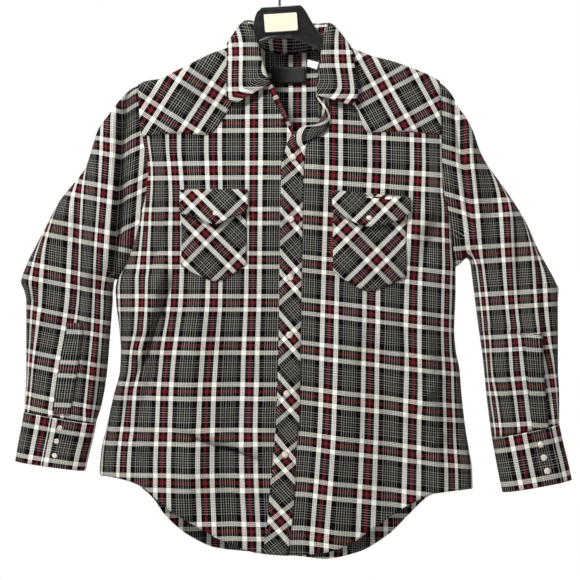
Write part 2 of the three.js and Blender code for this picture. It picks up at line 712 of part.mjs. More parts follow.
// Hanger body: one moulding from arm tip to arm tip.
// Columns: x, top z, bottom z, half depth and squareness (1 is an oval, 0.5 nearly a box).
const armTop = (x) => shoulderLine(x) - WALL - 1;
const armRow = (x, half = 9.6) => [x, armTop(x) - 0.7, armTop(x) - 0.7 - 2 * half, half, 1];
const HANGER = [
  [-196, armTop(-196) - 6, armTop(-196) - 12, 2.5, 1],
  [-193, armTop(-193) - 3, armTop(-193) - 15, 5, 1],
  armRow(-184, 7.5),
  armRow(-150, 8.6),
  armRow(-110),
  armRow(-80),
  [-56, -128, -147, 7, 1],
  [-46, -122, -142, 6, 0.8],
  [-41, -98, -134, 5.5, 0.55],
  [-37, -80, -125, 5.5, 0.55],
  [-33, -71, -122, 5.5, 0.55],
  [-26, -66.5, -119, 5.5, 0.55],
  [-7, -65.5, -114, 5.5, 0.55],
  [16, -64, -114, 5.5, 0.55],
  [31, -63, -118, 5.5, 0.55],
  [36, -67, -120, 5.5, 0.55],
  [50, -90, -126, 5.5, 0.55],
  [62, -108, -133, 5.5, 0.55],
  [70, -122, -142, 7, 0.7],
  [84, -126, -147, 8, 0.9],
  armRow(110),
  armRow(140),
  armRow(180, 8.6),
  armRow(212, 7.5),
  [221, armTop(221) - 3, armTop(221) - 15, 5, 1],
  [224, armTop(224) - 6, armTop(224) - 12, 2.5, 1],
];
const squared = (value, corner) => Math.sign(value) * Math.abs(value) ** corner;
rings(
  "hanger_body",
  HANGER.map(([x, top, bottom, half, corner]) =>
    Array.from({ length: 16 }, (_, j) => {
      const turn = ((j + 0.5) / 16) * 2 * Math.PI;
      const z = (top + bottom) / 2 + ((top - bottom) / 2) * squared(Math.sin(turn), corner);
      return new THREE.Vector3(x, half * squared(Math.cos(turn), corner), z);
    }),
  ),
);

// Cream plate on the front of the hanger's bridge.
const plate = new THREE.Mesh(new THREE.BoxGeometry(50, 1.2, 27));
plate.name = "hanger_plate";
plate.rotation.y = -0.065;
plate.position.set(2, -5.5 - SEAM - 0.6, -90);
shirt.add(plate);

// Wire hook. Its inner top is the origin; its stem goes down to the bridge.
const HOOK = { wire: 1.9, inner: 18 };
const bend = HOOK.inner + HOOK.wire;
const hookPoints = [
  [0, -64.2],
  [0, -56],
  [1.5, -48],
  [7, -40],
].map(([x, z]) => new THREE.Vector3(x, 0, z));
for (let degrees = -45; degrees <= 200; degrees += 17.5) {
  const a = (degrees * Math.PI) / 180;
  hookPoints.push(new THREE.Vector3(bend * Math.cos(a), 0, -HOOK.inner + bend * Math.sin(a)));
}
const hookPath = new THREE.CatmullRomCurve3(hookPoints, false, "centripetal");
rings(
  "hanger_hook",
  Array.from({ length: 45 }, (_, i) => {
    const tangent = hookPath.getTangentAt(i / 44);
    const side = new THREE.Vector3(0, 1, 0);
    const up = tangent.clone().cross(side).normalize();
    return Array.from({ length: 9 }, (_, j) => {
      const a = (j / 9) * 2 * Math.PI;
      const p = hookPath.getPointAt(i / 44);
      return p.addScaledVector(side, HOOK.wire * Math.cos(a)).addScaledVector(up, HOOK.wire * Math.sin(a));
    });
  }),
);

export default shirt;
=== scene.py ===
# Western snap shirt on its hanger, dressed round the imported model. Sizes are in mm unless a name says metres.
import math

import bpy
import numpy as np
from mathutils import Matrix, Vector


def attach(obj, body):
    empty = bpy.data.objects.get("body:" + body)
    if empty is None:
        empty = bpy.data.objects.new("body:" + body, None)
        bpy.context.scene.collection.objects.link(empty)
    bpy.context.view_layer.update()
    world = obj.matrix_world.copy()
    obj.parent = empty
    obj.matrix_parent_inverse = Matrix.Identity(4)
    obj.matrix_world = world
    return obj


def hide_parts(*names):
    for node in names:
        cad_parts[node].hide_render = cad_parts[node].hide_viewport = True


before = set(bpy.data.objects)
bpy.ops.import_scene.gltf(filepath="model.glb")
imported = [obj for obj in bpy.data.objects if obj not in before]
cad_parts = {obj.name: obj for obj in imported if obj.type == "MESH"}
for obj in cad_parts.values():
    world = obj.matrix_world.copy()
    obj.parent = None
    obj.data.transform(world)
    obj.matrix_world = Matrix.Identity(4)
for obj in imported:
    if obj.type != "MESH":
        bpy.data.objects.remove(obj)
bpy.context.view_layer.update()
MM = 0.001


# Camera. It is level, a little right of the front band, and far enough back that the sleeves aren't spread by
# perspective.
VIEW_MIDDLE = (15.75, -30, -495)
VIEW_WIDTH = 870
VIEW_DISTANCE = 2600
SENSOR = 36
camera_data = bpy.data.cameras.new("camera")
camera_data.sensor_width = SENSOR
camera_data.lens = SENSOR * VIEW_DISTANCE / VIEW_WIDTH
camera = bpy.data.objects.new("camera", camera_data)
camera.location = Vector((VIEW_MIDDLE[0], VIEW_MIDDLE[1] - VIEW_DISTANCE, VIEW_MIDDLE[2])) * MM
camera.rotation_euler = (math.pi / 2, 0, 0)
bpy.context.collection.objects.link(camera)
bpy.context.scene.camera = camera


# Fronts. Each is one flat cut of brushed cotton plaid that hangs from the yoke seam to a curved tail hem,
# joined to the back down the side and to the sleeve round the armhole.
# CLOTH is the shell's thickness, RIDGE the round of the shoulder fold, CHEST and BLADE how far front and back
# stand off the middle. LEFT and RIGHT in a name mean as seen here, for an edge of the body and its underarm.
FRONT, BACK = -1, 1
CLOTH = 1.0
RIDGE = 14
CHEST = 38
BLADE = 34
NECK_X = 14
UNDERARM_LEFT = -478
UNDERARM_RIGHT = -460
ARMHOLE_FADE = 120


def curve(pairs):
    """Smooth line through (key, value) pairs with no overshoot, for numbers or arrays."""
    keys, values = np.array(sorted(pairs), float).T
    rise = np.diff(values) / np.diff(keys)
    slope = np.zeros_like(values)
    slope[0] = rise[0]
    slope[-1] = rise[-1]
    before, after = rise[:-1], rise[1:]
    same = before * after > 0
    slope[1:-1][same] = 2 * before[same] * after[same] / (before[same] + after[same])

    def at(key):
        key = np.clip(key, keys[0], keys[-1])
        i = np.clip(np.searchsorted(keys, key) - 1, 0, len(keys) - 2)
        width = keys[i + 1] - keys[i]
        t = (key - keys[i]) / width
        step = t * t * (3 - 2 * t)
        bend = width * t * (1 - t) * (slope[i] * (1 - t) - slope[i + 1] * t)
        return values[i] * (1 - step) + values[i + 1] * step + bend

    return at


def tracks(rows, keys=None):
    """One smooth line for each column of a table, by the rows' numbers or by the keys given."""
    keys = range(len(rows)) if keys is None else keys
    return [curve(list(zip(keys, column))) for column in zip(*rows)]


def ease(t):
    """Smooth step from 0 to 1."""
    t = np.clip(t, 0, 1)
    return t * t * (3 - 2 * t)


def mix(a, b, t):
    return a + (b - a) * t


shoulder_line = curve([
    (-214, -186), (-202, -180), (-182, -177), (-157, -165), (-125, -149), (-97, -136), (-79, -130),
    (-44, -116), (-14, -104), (16, -98), (46, -105), (76, -117), (109, -130), (136, -141),
    (170, -150), (196, -159), (226, -171), (242, -180),
])
left_edge = curve([
    (-186, -214), (-225, -212), (-262, -209), (-288, -202), (-312, -198), (-333, -199), (-360, -203),
    (-382, -209), (-405, -214), (-435, -223), (-465, -236), (-478, -245), (-495, -248), (-515, -247),
    (-555, -242), (-585, -240), (-615, -241), (-652, -250), (-705, -262), (-735, -269), (-765, -272),
])
right_edge = curve([
    (-180, 242), (-225, 244), (-308, 245), (-345, 247), (-375, 254), (-412, 259), (-442, 263),
    (-460, 266), (-495, 266), (-555, 264), (-585, 266), (-615, 272), (-652, 275), (-705, 281),
    (-735, 286), (-765, 291), (-795, 292),
])
front_hem = curve([
    (-271, -774), (-227, -781), (-208, -789), (-182, -811), (-149, -834), (-119, -852), (-74, -876),
    (-29, -889), (16, -892), (65, -888), (106, -874), (143, -850), (188, -821), (236, -800), (292, -795),
])
# Folds of the body. Columns: start x and z, end x and z, half width, height (below 0 is a trough).
CREASE = 2.3
BODY_FOLDS = {
    FRONT: [
        (-172, -460, -224, -620, 11, 7), (-160, -480, -210, -615, 5, -6), (-228, -615, -266, -755, 9, 5),
        (-217, -622, -252, -745, 5, -4.5), (-186, -440, -196, -470, 6, -5), (-150, -505, -176, -590, 6, 3),
        (-120, -490, -132, -560, 6, 2), (120, -505, 112, -600, 8, 2.5), (176, -500, 190, -600, 7, -2.5),
        (-160, -520, -214, -690, 7, -3), (-146, -694, -34, -738, 9, 4), (-138, -712, -24, -752, 5, -4.5),
        (-66, -780, -30, -822, 7, 2.5), (120, -540, 255, -700, 24, 6), (-192, -468, -172, -560, 8, 3.5),
        (-206, -500, -196, -585, 7, -3), (-196, -330, -160, -430, 11, 3), (-186, -350, -168, -440, 6, -2.5),
        (240, -330, 196, -440, 11, 3), (248, -380, 212, -470, 8, -2), (-118, -510, -150, -850, 22, 5),
        (-70, -560, -74, -870, 16, -3), (92, -530, 84, -880, 24, 4.5), (150, -560, 176, -830, 18, -3.5),
        (214, -540, 240, -780, 15, 4), (-150, -180, -168, -250, 10, 1.6), (180, -168, 196, -250, 10, 1.6),
        (60, -280, 44, -420, 12, 2.2), (-20, -300, -12, -440, 9, 1.8), (-45, -600, -14, -700, 8, 2),
        (246, -620, 180, -690, 7, 2.5), (262, -700, 205, -745, 6, 2.2), (-252, -700, -200, -740, 7, 2.5),
    ],
    BACK: [
        (-70, -330, -95, -860, 34, 9), (110, -330, 125, -850, 34, 9), (12, -350, 8, -870, 20, -5),
        (-150, -340, -205, -740, 16, 5), (180, -350, 240, -730, 16, 5), (-190, -420, -120, -520, 11, 3),
        (230, -420, 160, -530, 11, 3), (-60, -700, 30, -760, 12, 3), (90, -620, 190, -680, 12, -3),
    ],
}


def fold_height(folds, x, z):
    """How far the folds of one side lift the cloth at (x, z)."""
    total = np.zeros_like(x)
    for x0, z0, x1, z1, half, height in folds:
        length = math.hypot(x1 - x0, z1 - z0)
        ux, uz = (x1 - x0) / length, (z1 - z0) / length
        on = (x - x0) * ux + (z - z0) * uz
        off = (x - x0) * uz - (z - z0) * ux + 0.3 * half * np.sin(on / 37 + x0)
        fade = ease((on + 40) / 80) * ease((length + 40 - on) / 80)
        total = total + CREASE * height * np.exp(-((off / half) ** 2)) * fade
    return total


RIPPLE = 0.9


def ripple(x, z, seed):
    """Slow uneven waves of a cloth that has been worn and hung."""
    a = np.sin(x / 31 + 1.7 * np.sin(z / 53 + seed) + seed)
    b = np.sin(z / 43 + 1.3 * np.sin(x / 39 + 2 * seed) + 3 * seed)
    c = np.sin((x + 0.7 * z) / 19 + 1.1 * np.sin(z / 29 - seed))
    return 0.55 * a + 0.5 * b + 0.22 * c


def body_point(side, across, down):
    """Point of the body. across runs 0 to 1 between the side seams, down is cloth from the shoulder fold."""
    turn = np.minimum(np.abs(down) / RIDGE, math.pi / 2)
    drop = RIDGE * (1 - np.cos(turn)) + np.maximum(np.abs(down) - RIDGE * math.pi / 2, 0)
    face = np.where(down < 0, -side, side)
    inside = np.clip(np.where(np.abs(across) > 1, 2 - across, np.abs(across)), 0, 1)
    angle = math.pi * inside
    rounded = -np.sign(np.cos(angle)) * np.abs(np.cos(angle)) ** 0.8
    x = np.full(np.shape(across), 10.0)
    for _ in range(12):
        z = shoulder_line(x) - drop
        armhole_share = (z - np.where(x < NECK_X, UNDERARM_LEFT, UNDERARM_RIGHT)) / ARMHOLE_FADE
        run = mix(rounded, 2 * across - 1, ease(armhole_share))
        x = mix(left_edge(z), right_edge(z), (run + 1) / 2)
    run = np.clip((x - left_edge(z)) / (right_edge(z) - left_edge(z)) * 2 - 1, -1, 1)
    outside = np.where((across < 0) | (across > 1), -1, 1)
    shut = outside * np.abs(np.sin(angle)) ** 0.8
    open_side = 1 - 0.38 * np.abs(run) ** 4
    armhole_share = (z - np.where(x < NECK_X, UNDERARM_LEFT, UNDERARM_RIGHT)) / ARMHOLE_FADE
    profile = mix(shut, open_side, np.sqrt(ease(armhole_share)))
    full = (CHEST if side == FRONT else BLADE) - RIDGE
    neck = np.where(face < 0, 10, 26) * np.exp(-(((x - NECK_X) / 46) ** 2))
    neck = neck * ease(drop / 30) * (1 - ease(drop / 260))
    settle = np.where(turn < 1.5, turn / 1.5, 1)
    fold = fold_height(BODY_FOLDS[side], x, z) + RIPPLE * ripple(x, z, side)
    fold = np.where(face == side, fold, 0) * ease(5 * (1 - np.abs(run)) + 0.15) * ease(drop / 25)
    depth = RIDGE * np.sin(turn) + (full * ease(drop / 300) + neck) * settle
    return np.stack([x, face * (depth * profile + fold), z], -1)


def unit(v):
    """Vectors of length one."""
    return v / np.maximum(np.linalg.norm(v, axis=-1, keepdims=True), 1e-9)


def body_normal(side, across, down):
    """Direction straight out of the cloth."""
    along = body_point(side, across + 0.004, down) - body_point(side, across - 0.004, down)
    fall = body_point(side, across, down + 1.5) - body_point(side, across, down - 1.5)
    normal = np.cross(along, fall)
    return unit(-normal if side == FRONT else normal)


def locate(side, x, z):
    """The body's own coordinates of what is seen at (x, z)."""
    drop = np.maximum(shoulder_line(x) - z, 0)
    bent = RIDGE * np.arccos(np.clip(1 - drop / RIDGE, -1, 1))
    down = np.where(drop < RIDGE, bent, drop + RIDGE * (math.pi / 2 - 1))
    low = np.zeros_like(x)
    high = np.ones_like(x)
    for _ in range(22):
        middle = (low + high) / 2
        less = body_point(side, middle, down)[..., 0] < x
        low = np.where(less, middle, low)
        high = np.where(less, high, middle)
    across = (low + high) / 2
    across = np.where(across < 0.0006, 0, np.where(across > 0.9994, 1, across))
    return across, down


def on_body(side, x, z, out):
    """Points on the body's cloth seen at (x, z), moved out of it by so many mm."""
    across, down = locate(side, np.asarray(x, float), np.asarray(z, float))
    out = np.broadcast_to(np.asarray(out, float), across.shape)
    return body_point(side, across, down) + body_normal(side, across, down) * out[..., None]


def grid(columns, rows):
    """Shares across and down for a grid of points."""
    u = np.linspace(0, 1, columns + 1)[:, None] * np.ones(rows + 1)
    v = np.ones(columns + 1)[:, None] * np.linspace(0, 1, rows + 1)
    return u, v


def panel_places(left, right, top, bottom, columns, rows, crowd=1):
    """Grid of (x, z) between a left and right edge, x by z, and a top and bottom edge, z by x."""
    u, v = grid(columns, rows)
    v = v ** crowd
    z = np.full_like(u, -400.0)
    x = mix(left(z), right(z), u)
    for _ in range(30):
        z = mix(z, mix(top(x), bottom(x), v), 0.7)
        x = mix(x, mix(left(z), right(z), u), 0.7)
    return np.clip(x, left_edge(z), right_edge(z)), z


def make_piece(name, corners, faces, materials, nodes=()):
    """Smooth object from corners in mm. It rides on the body and stands for the nodes named."""
    mesh = bpy.data.meshes.new(name)
    mesh.from_pydata((np.reshape(corners, (-1, 3)) * MM).tolist(), [], faces)
    mesh.polygons.foreach_set("use_smooth", [True] * len(mesh.polygons))
    for material in materials:
        mesh.materials.append(material)
    piece = bpy.data.objects.new(name, mesh)
    bpy.context.collection.objects.link(piece)
    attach(piece, "root")
    if nodes:
        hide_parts(*nodes)
    return piece


def surface(name, points, uv, material, nodes=(), thickness=CLOTH, wrap=False):
    """Thin shell from a grid of points, with a map in plaid repeats. wrap closes the first way."""
    columns, rows = points.shape[:2]
    index = np.arange(columns * rows).reshape(columns, rows)
    place = np.arange(uv.shape[0] * rows).reshape(uv.shape[0], rows)
    if wrap:
        index = np.concatenate([index, index[:1]])
    quads = [np.stack([i[:-1, :-1], i[1:, :-1], i[1:, 1:], i[:-1, 1:]], -1) for i in (index, place)]
    piece = make_piece(name, points, quads[0].reshape(-1, 4).tolist(), [material], nodes)
    layer = piece.data.uv_layers.new(name="cloth")
    layer.data.foreach_set("uv", uv.reshape(-1, 2)[quads[1].reshape(-1)].reshape(-1))
    shell = piece.modifiers.new("wall", "SOLIDIFY")
    shell.thickness = thickness * MM
    shell.offset = -1
    return piece


def linear(hex_colour):
    """sRGB hex to Blender's linear colour."""
    parts = [int(hex_colour[i:i + 2], 16) / 255 for i in (1, 3, 5)]
    return [p / 12.92 if p <= 0.04045 else ((p + 0.055) / 1.055) ** 2.4 for p in parts] + [1]


def add(tree, kind, links=None, values=None, **settings):
    """Adds one shader node: its settings, its sockets' values, and the nodes or outputs that feed them."""
    node = tree.nodes.new("ShaderNode" + kind)
    for key, value in settings.items():
        setattr(node, key, value)
    for socket, value in (values or {}).items():
        node.inputs[socket].default_value = value
    for socket, source in (links or {}).items():
        tree.links.new(getattr(source, "outputs", [source])[0], node.inputs[socket])
    return node


def new_material(name, roughness, **sockets):
    """Material with its node tree and shader, and the values of the shader's sockets."""
    material = bpy.data.materials.new(name)
    material.use_nodes = True
    shader = material.node_tree.nodes["Principled BSDF"]
    shader.inputs["Roughness"].default_value = roughness
    for socket, value in sockets.items():
        shader.inputs[socket.replace("_", " ")].default_value = value
    return material, material.node_tree, shader


# Yarns of the plaid, as sRGB.
BLACK_YARN = "#0f0e0e"
GREY_YARN = "#a3a09a"
WHITE_YARN = "#efece4"
WINE_YARN = "#742831"
# Sizes in mm of one repeat each way, measured from the middle of a pair of white stripes outwards:
# half the wine line, then black to, white to, black to. What is left is black with fine pale lines.
ACROSS = 63
DOWN = 67.5
PLAID = {
    "across": {"repeat": ACROSS, "wine": 2.1, "inner": 6.7, "white": 13.3, "outer": 20.6},
    "down": {"repeat": DOWN, "wine": 2.5, "inner": 7.0, "white": 13.7, "outer": 21.4},
}
# Pitches in mm of the fine pale lines, of the cross ribs and of the twill, and how much each shows.
FINE_LINE = 3.5
FINE_SHARE = 0.25
TICK = 2.3
TICKS = 0.18
TWILL = 1.5
TWILL_SHARE = 0.12
# The warp is set closer than the weft, so upright stripes show stronger than level bands.
WEFT_SHARE = 0.41
# Yarns shade one another where they cross, so a mixed stripe is a little darker than its two halves.
YARN_SHADE = 1.14


def plaid_cloth(name):
    """Brushed cotton, yarn dyed and twill woven: stripes and bands mix yarn by yarn, so a white stripe is
    grey over black, white over white and pink over wine. The brushed face is matt with a faint pale nap."""
    material, tree, shader = new_material(name, 0.9, Sheen_Weight=0.015, Sheen_Roughness=0.45,
                                          Specular_IOR_Level=0.05)
    cloth_map = add(tree, "UVMap", uv_map="cloth")
    axes = add(tree, "SeparateXYZ", {0: cloth_map})
    yarns = []
    for axis, sizes in enumerate(PLAID.values()):
        repeat = sizes["repeat"]
        centred = add(tree, "Math", {0: axes.outputs[axis]}, {1: 0.5}, operation="PINGPONG")
        ramp = add(tree, "ValToRGB", {0: centred})
        ramp.color_ramp.interpolation = "CONSTANT"
        ramp.color_ramp.elements.remove(ramp.color_ramp.elements[1])
        ramp.color_ramp.elements[0].color = linear(WINE_YARN)
        for edge, colour in (("wine", BLACK_YARN), ("inner", WHITE_YARN), ("white", BLACK_YARN)):
            ramp.color_ramp.elements.new(sizes[edge] / repeat).color = linear(colour)
        lines = add(tree, "Math", {0: axes.outputs[axis]}, {1: repeat / FINE_LINE}, operation="MULTIPLY")
        saw = add(tree, "Math", {0: lines}, operation="FRACT")
        pale = add(tree, "Math", {0: saw}, {1: FINE_SHARE}, operation="LESS_THAN")
        field = add(tree, "Math", {0: centred}, {1: sizes["outer"] / repeat}, operation="GREATER_THAN")
        fine = add(tree, "Math", {0: pale, 1: field}, operation="MULTIPLY")
        yarn = add(tree, "Mix", {0: fine, 6: ramp}, {7: linear(GREY_YARN)}, data_type="RGBA")
        yarns.append(yarn.outputs[2])
    # Twill: fine slanted ribs where first the one yarn lies on top, then the other. Drawn coarser than real.
    slant = add(tree, "Math", {0: axes, 1: axes.outputs[1]}, operation="ADD")
    ribs = add(tree, "Math", {0: slant}, {1: 2 * math.pi * ACROSS / TWILL}, operation="MULTIPLY")
    wave = add(tree, "Math", {0: ribs}, operation="SINE")
    share = add(tree, "Math", {0: wave}, {1: TWILL_SHARE, 2: WEFT_SHARE}, operation="MULTIPLY_ADD")
    # Thick and thin yarns rib the cloth each way, so a pale stripe over black is ticked with dark lines.
    for axis, (sizes, lean) in enumerate(zip(PLAID.values(), (-TICKS, TICKS))):
        count = add(tree, "Math", {0: axes.outputs[axis]}, {1: 2 * math.pi * sizes["repeat"] / TICK},
                    operation="MULTIPLY")
        tick = add(tree, "Math", {0: count}, operation="COSINE")
        share = add(tree, "Math", {0: tick, 2: share}, {1: lean}, operation="MULTIPLY_ADD")
    woven = add(tree, "Mix", {0: share, 6: yarns[0], 7: yarns[1]}, data_type="RGBA")
    # Uneven brushing and washing shade the cloth softly.
    place = add(tree, "TexCoord")
    wash = add(tree, "TexNoise", {0: place.outputs["Object"]}, {"Scale": 22, "Detail": 4})
    tone = add(tree, "MapRange", {0: wash}, {1: 0.3, 2: 0.7, 3: 0.88, 4: 1.08})
    deep = add(tree, "Gamma", {0: woven.outputs[2]}, {1: YARN_SHADE})
    shaded = add(tree, "Mix", {6: deep, 7: tone}, {0: 1.0}, data_type="RGBA", blend_type="MULTIPLY")
    tree.links.new(shaded.outputs[2], shader.inputs["Base Color"])
    fuzz = add(tree, "TexNoise", {0: place.outputs["Object"]}, {"Scale": 900, "Detail": 2})
    relief = add(tree, "Math", {0: wave, 1: fuzz}, operation="ADD")
    bump = add(tree, "Bump", {"Height": relief}, {"Strength": 0.3, "Distance": 0.0003})
    tree.links.new(bump.outputs[0], shader.inputs["Normal"])
    return material


brushed_cotton = plaid_cloth("brushed_cotton_plaid")

# Middles of the stripe pairs of the right front, x at each height. Columns: z, then pairs -3, -2, -1 and 0.
PAIRS_RIGHT = [
    (-285, -219.8, -162, -99.8, -38.3), (-360, -215.3, -156, -97.5, -39),
    (-435, -211.5, -155.3, -96.8, -39.8), (-510, -208.5, -157.5, -98, -40.8),
    (-555, -212.3, -163.5, -101.5, -42.3), (-585, -222, -167.3, -104.3, -43.4),
    (-615, -225.8, -170.3, -106.4, -44.1), (-648, -231.8, -172.5, -108.6, -44.9),
    (-705, -234.8, -174.5, -110.6, -46.5), (-758, -239.3, -176.3, -111.8, -45.8),
    (-870, -241.5, -174.8, -108, -41),
]
# The same for the left front. Columns: z, then pairs 1 to 4.
PAIRS_LEFT = [
    (-305, 81, 146.3, 210.8, 275.3), (-510, 75.3, 137, 201, 264.8), (-687, 71.3, 134.3, 199.5, 263.3),
    (-870, 58.5, 128.3, 197, 266),
]
BAND_HEIGHTS = [-112, -180, -244.5, -316, -384.6, -450, -514.5, -578.4, -647, -715.5, -783.8, -856.5, -925]
BAND_TILT_LEFT = curve([(-300, 0.05), (-510, 0.115), (-720, 0.125)])


def band_number(heights):
    """Repeats down the cloth by z, from the heights of its bands."""
    return curve([(z, 1 - i) for i, z in enumerate(heights)])


def stripe_number(pairs, first, x, z):
    """Repeats across the cloth at (x, z), from where the middles of its stripe pairs run."""
    lines = [line(z) for line in tracks([row[1:] for row in pairs], [row[0] for row in pairs])]
    number = first + np.minimum(x - lines[0], 0) / ACROSS + np.maximum(x - lines[-1], 0) / ACROSS
    for a, b in zip(lines, lines[1:]):
        number = number + np.clip((x - a) / (b - a), 0, 1)
    return number


def spread(x, z):
    """x on the body with the cloth that rounds the side counted in."""
    middle = (left_edge(z) + right_edge(z)) / 2
    half = (right_edge(z) - left_edge(z)) / 2
    t = (x - middle) / half
    return x + half * 0.1 * np.sign(t) * np.abs(t) ** 13


def map_bias(x, z, middle, degrees, scale=1.0):
    """Cloth map of a piece cut on the bias: its turn, and where the wine lines cross."""
    a = math.radians(degrees)
    dx, dz = x - middle[0], z - middle[1]
    u = (dx * math.cos(a) + dz * math.sin(a)) / ACROSS * scale
    v = (-dx * math.sin(a) + dz * math.cos(a)) / DOWN * scale
    return np.stack([u, v], -1)


yoke_seam_right = curve([
    (-215, -264), (-154, -259), (-108, -262), (-100, -257), (-89, -243), (-79, -228), (-59, -198),
    (-37, -168),
])
yoke_seam_left = curve([
    (64, -170), (98, -207), (116, -222), (124, -243), (130, -256), (138, -258), (176, -256), (245, -260),
])
neck_right = curve([(-60, -190), (-37, -166), (-26, -168), (-14, -182), (4, -218), (20, -256), (32, -290)])
neck_left = curve([(36, -282), (44, -262), (56, -245), (62, -205), (66, -176), (72, -172)])
band_left = curve([
    (-890, -25), (-840, -18), (-795, -14), (-741, -9), (-687, -5), (-555, -1), (-390, 1), (-304, 3),
    (-288, 8),
])
band_right = curve([
    (-890, 13), (-840, 19), (-795, 23), (-741, 25), (-687, 30), (-555, 32), (-390, 35), (-304, 37),
    (-270, 42),
])
# How far the fronts and the back go on under the yokes.
UNDER_YOKE = 5
BANDS = band_number(BAND_HEIGHTS)
x, z = panel_places(
    left_edge, lambda z: band_right(z) - 5,
    lambda x: np.minimum(yoke_seam_right(x) + UNDER_YOKE * (x < -60), neck_right(x)), front_hem, 66, 140,
)
uv = np.stack([stripe_number(PAIRS_RIGHT, -3, spread(x, z), z), BANDS(z)], -1)
front_right = surface("front_right_cloth", on_body(FRONT, x, z, 0), uv, brushed_cotton, ["front_right"])

x, z = panel_places(
    lambda z: band_right(z) - 4.4, right_edge,
    lambda x: np.minimum(yoke_seam_left(x) + UNDER_YOKE * (x > 90), neck_left(x)), front_hem, 62, 140,
)
uv = np.stack([
    stripe_number(PAIRS_LEFT, 1, spread(x, z), z),
    BANDS(z + 5 + BAND_TILT_LEFT(z) * np.maximum(x - 34, 0)),
], -1)
front_left = surface("front_left_cloth", on_body(FRONT, x, z, 0), uv, brushed_cotton, ["front_left"])


# Front yokes. Each is cut on the bias from the same cotton. Its pointed lower edge is turned under, laps over
# the front and is stitched down.
YOKE_LIFT = 1.3
YOKE_WALL = YOKE_LIFT - 0.2
YOKES = {
    "right": {
        "edges": (left_edge, curve([(-168, -38), (-134, -46), (-116, -53)])), "seam": yoke_seam_right,
        "middle": (-99.8, -199.5), "turn": -33, "scale": 0.95,
    },
    "left": {
        "edges": (curve([(-170, 66), (-118, 76)]), right_edge), "seam": yoke_seam_left,
        "middle": (155.3, -188.3), "turn": 29, "scale": 1.02,
    },
}
for side, s in YOKES.items():
    x, z = panel_places(*s["edges"], shoulder_line, s["seam"], 44, 34, 2.0)
    uv = map_bias(x, z, s["middle"], s["turn"], s["scale"])
    yoke = surface(f"yoke_{side}_cloth", on_body(FRONT, x, z, YOKE_LIFT), uv, brushed_cotton,
                   [f"yoke_front_{side}"], YOKE_WALL)


# Back. It is one straight cut of the same cotton, from the yoke seam to the rounded tail. A straight yoke
# above it meets the front yokes on the shoulder fold and carries the collar round the back of the neck.
neck_back = curve([(-54, -118), (-40, -121), (-20, -129), (14, -133), (48, -129), (68, -121), (80, -118)])
back_seam = curve([(-213, -268), (14, -305), (245, -262)])
back_hem = curve([
    (-271, -777), (-224, -790), (-194, -814), (-176, -840), (-139, -872), (-97, -891), (-44, -897),
    (31, -904), (68, -908), (118, -898), (167, -870), (197, -840), (229, -810), (248, -802), (292, -797),
])
BACK_PAIR = 27
BACK_BAND = -176.6


def map_back(x, z):
    """Cloth map of the back, from the middles of one pair of stripes and one of bands."""
    u = (spread(x, z) - BACK_PAIR) / ACROSS
    return np.stack([u, (z - BACK_BAND) / DOWN], -1)


x, z = panel_places(left_edge, right_edge, lambda x: back_seam(x) + UNDER_YOKE, back_hem, 116, 132)
back = surface("back_cloth", on_body(BACK, x, z, 0), map_back(x, z), brushed_cotton, ["back"])

x, z = panel_places(left_edge, right_edge, lambda x: np.minimum(shoulder_line(x), neck_back(x)), back_seam,
                    110, 40, 2.0)
yoke = surface("yoke_back_cloth", on_body(BACK, x, z, YOKE_LIFT), map_back(x, z), brushed_cotton,
               ["yoke_back"], YOKE_WALL)


# Sleeves. Each is one cut of the same cotton, closed under the arm and sewn in round the armhole. It hangs in
# soft folds.
# Columns: outer x and z, inner x and z, front and back depth, from the armhole to the cuff seam.
SLEEVE_RIGHT = [
    (-217, -187, -245, -478, 16, 18), (-226, -191, -248, -478, 18, 22), (-240, -205, -249, -478, 21, 25),
    (-257, -228, -250, -478, 28, 27), (-274, -252, -250, -478, 33, 29), (-283, -280, -251, -479, 35, 30),
    (-293, -310, -251, -479, 36, 30), (-308, -330, -251, -480, 36, 30), (-332, -360, -252, -481, 35, 30),
    (-350, -393, -252, -483, 34, 30), (-365, -422, -253, -487, 33, 29), (-382, -456, -253, -492, 31, 28),
    (-391, -482, -254, -499, 29, 27), (-386, -496, -254, -509, 28, 26), (-383, -514, -255, -523, 28, 26),
    (-383, -560, -258, -560, 27, 26), (-383, -618, -263, -620, 26, 25), (-385, -660, -271, -668, 25, 24),
    (-386, -679, -280, -697, 24, 23),
]
SLEEVE_LEFT = [
    (246, -183, 266, -460, 16, 18), (253, -188, 268, -459, 18, 22), (261, -198, 270, -458, 21, 25),
    (272, -219, 272, -457, 28, 27), (283, -235, 273, -456, 33, 29), (293, -254, 274, -455, 35, 30),
    (303, -283, 276, -453, 36, 30), (312, -301, 278, -451, 36, 30), (334, -332, 280, -449, 35, 30),
    (355, -362, 282, -447, 34, 30), (373, -392, 284, -447, 33, 29), (393, -436, 287, -449, 31, 28),
    (418, -482, 290, -458, 29, 27), (423, -495, 291, -466, 28, 26), (422, -514, 293, -482, 28, 26),
    (422, -562, 301, -545, 27, 26), (422, -612, 309, -604, 26, 25), (424, -655, 314, -655, 25, 24),
    (424, -698, 322, -719, 24, 23),
]
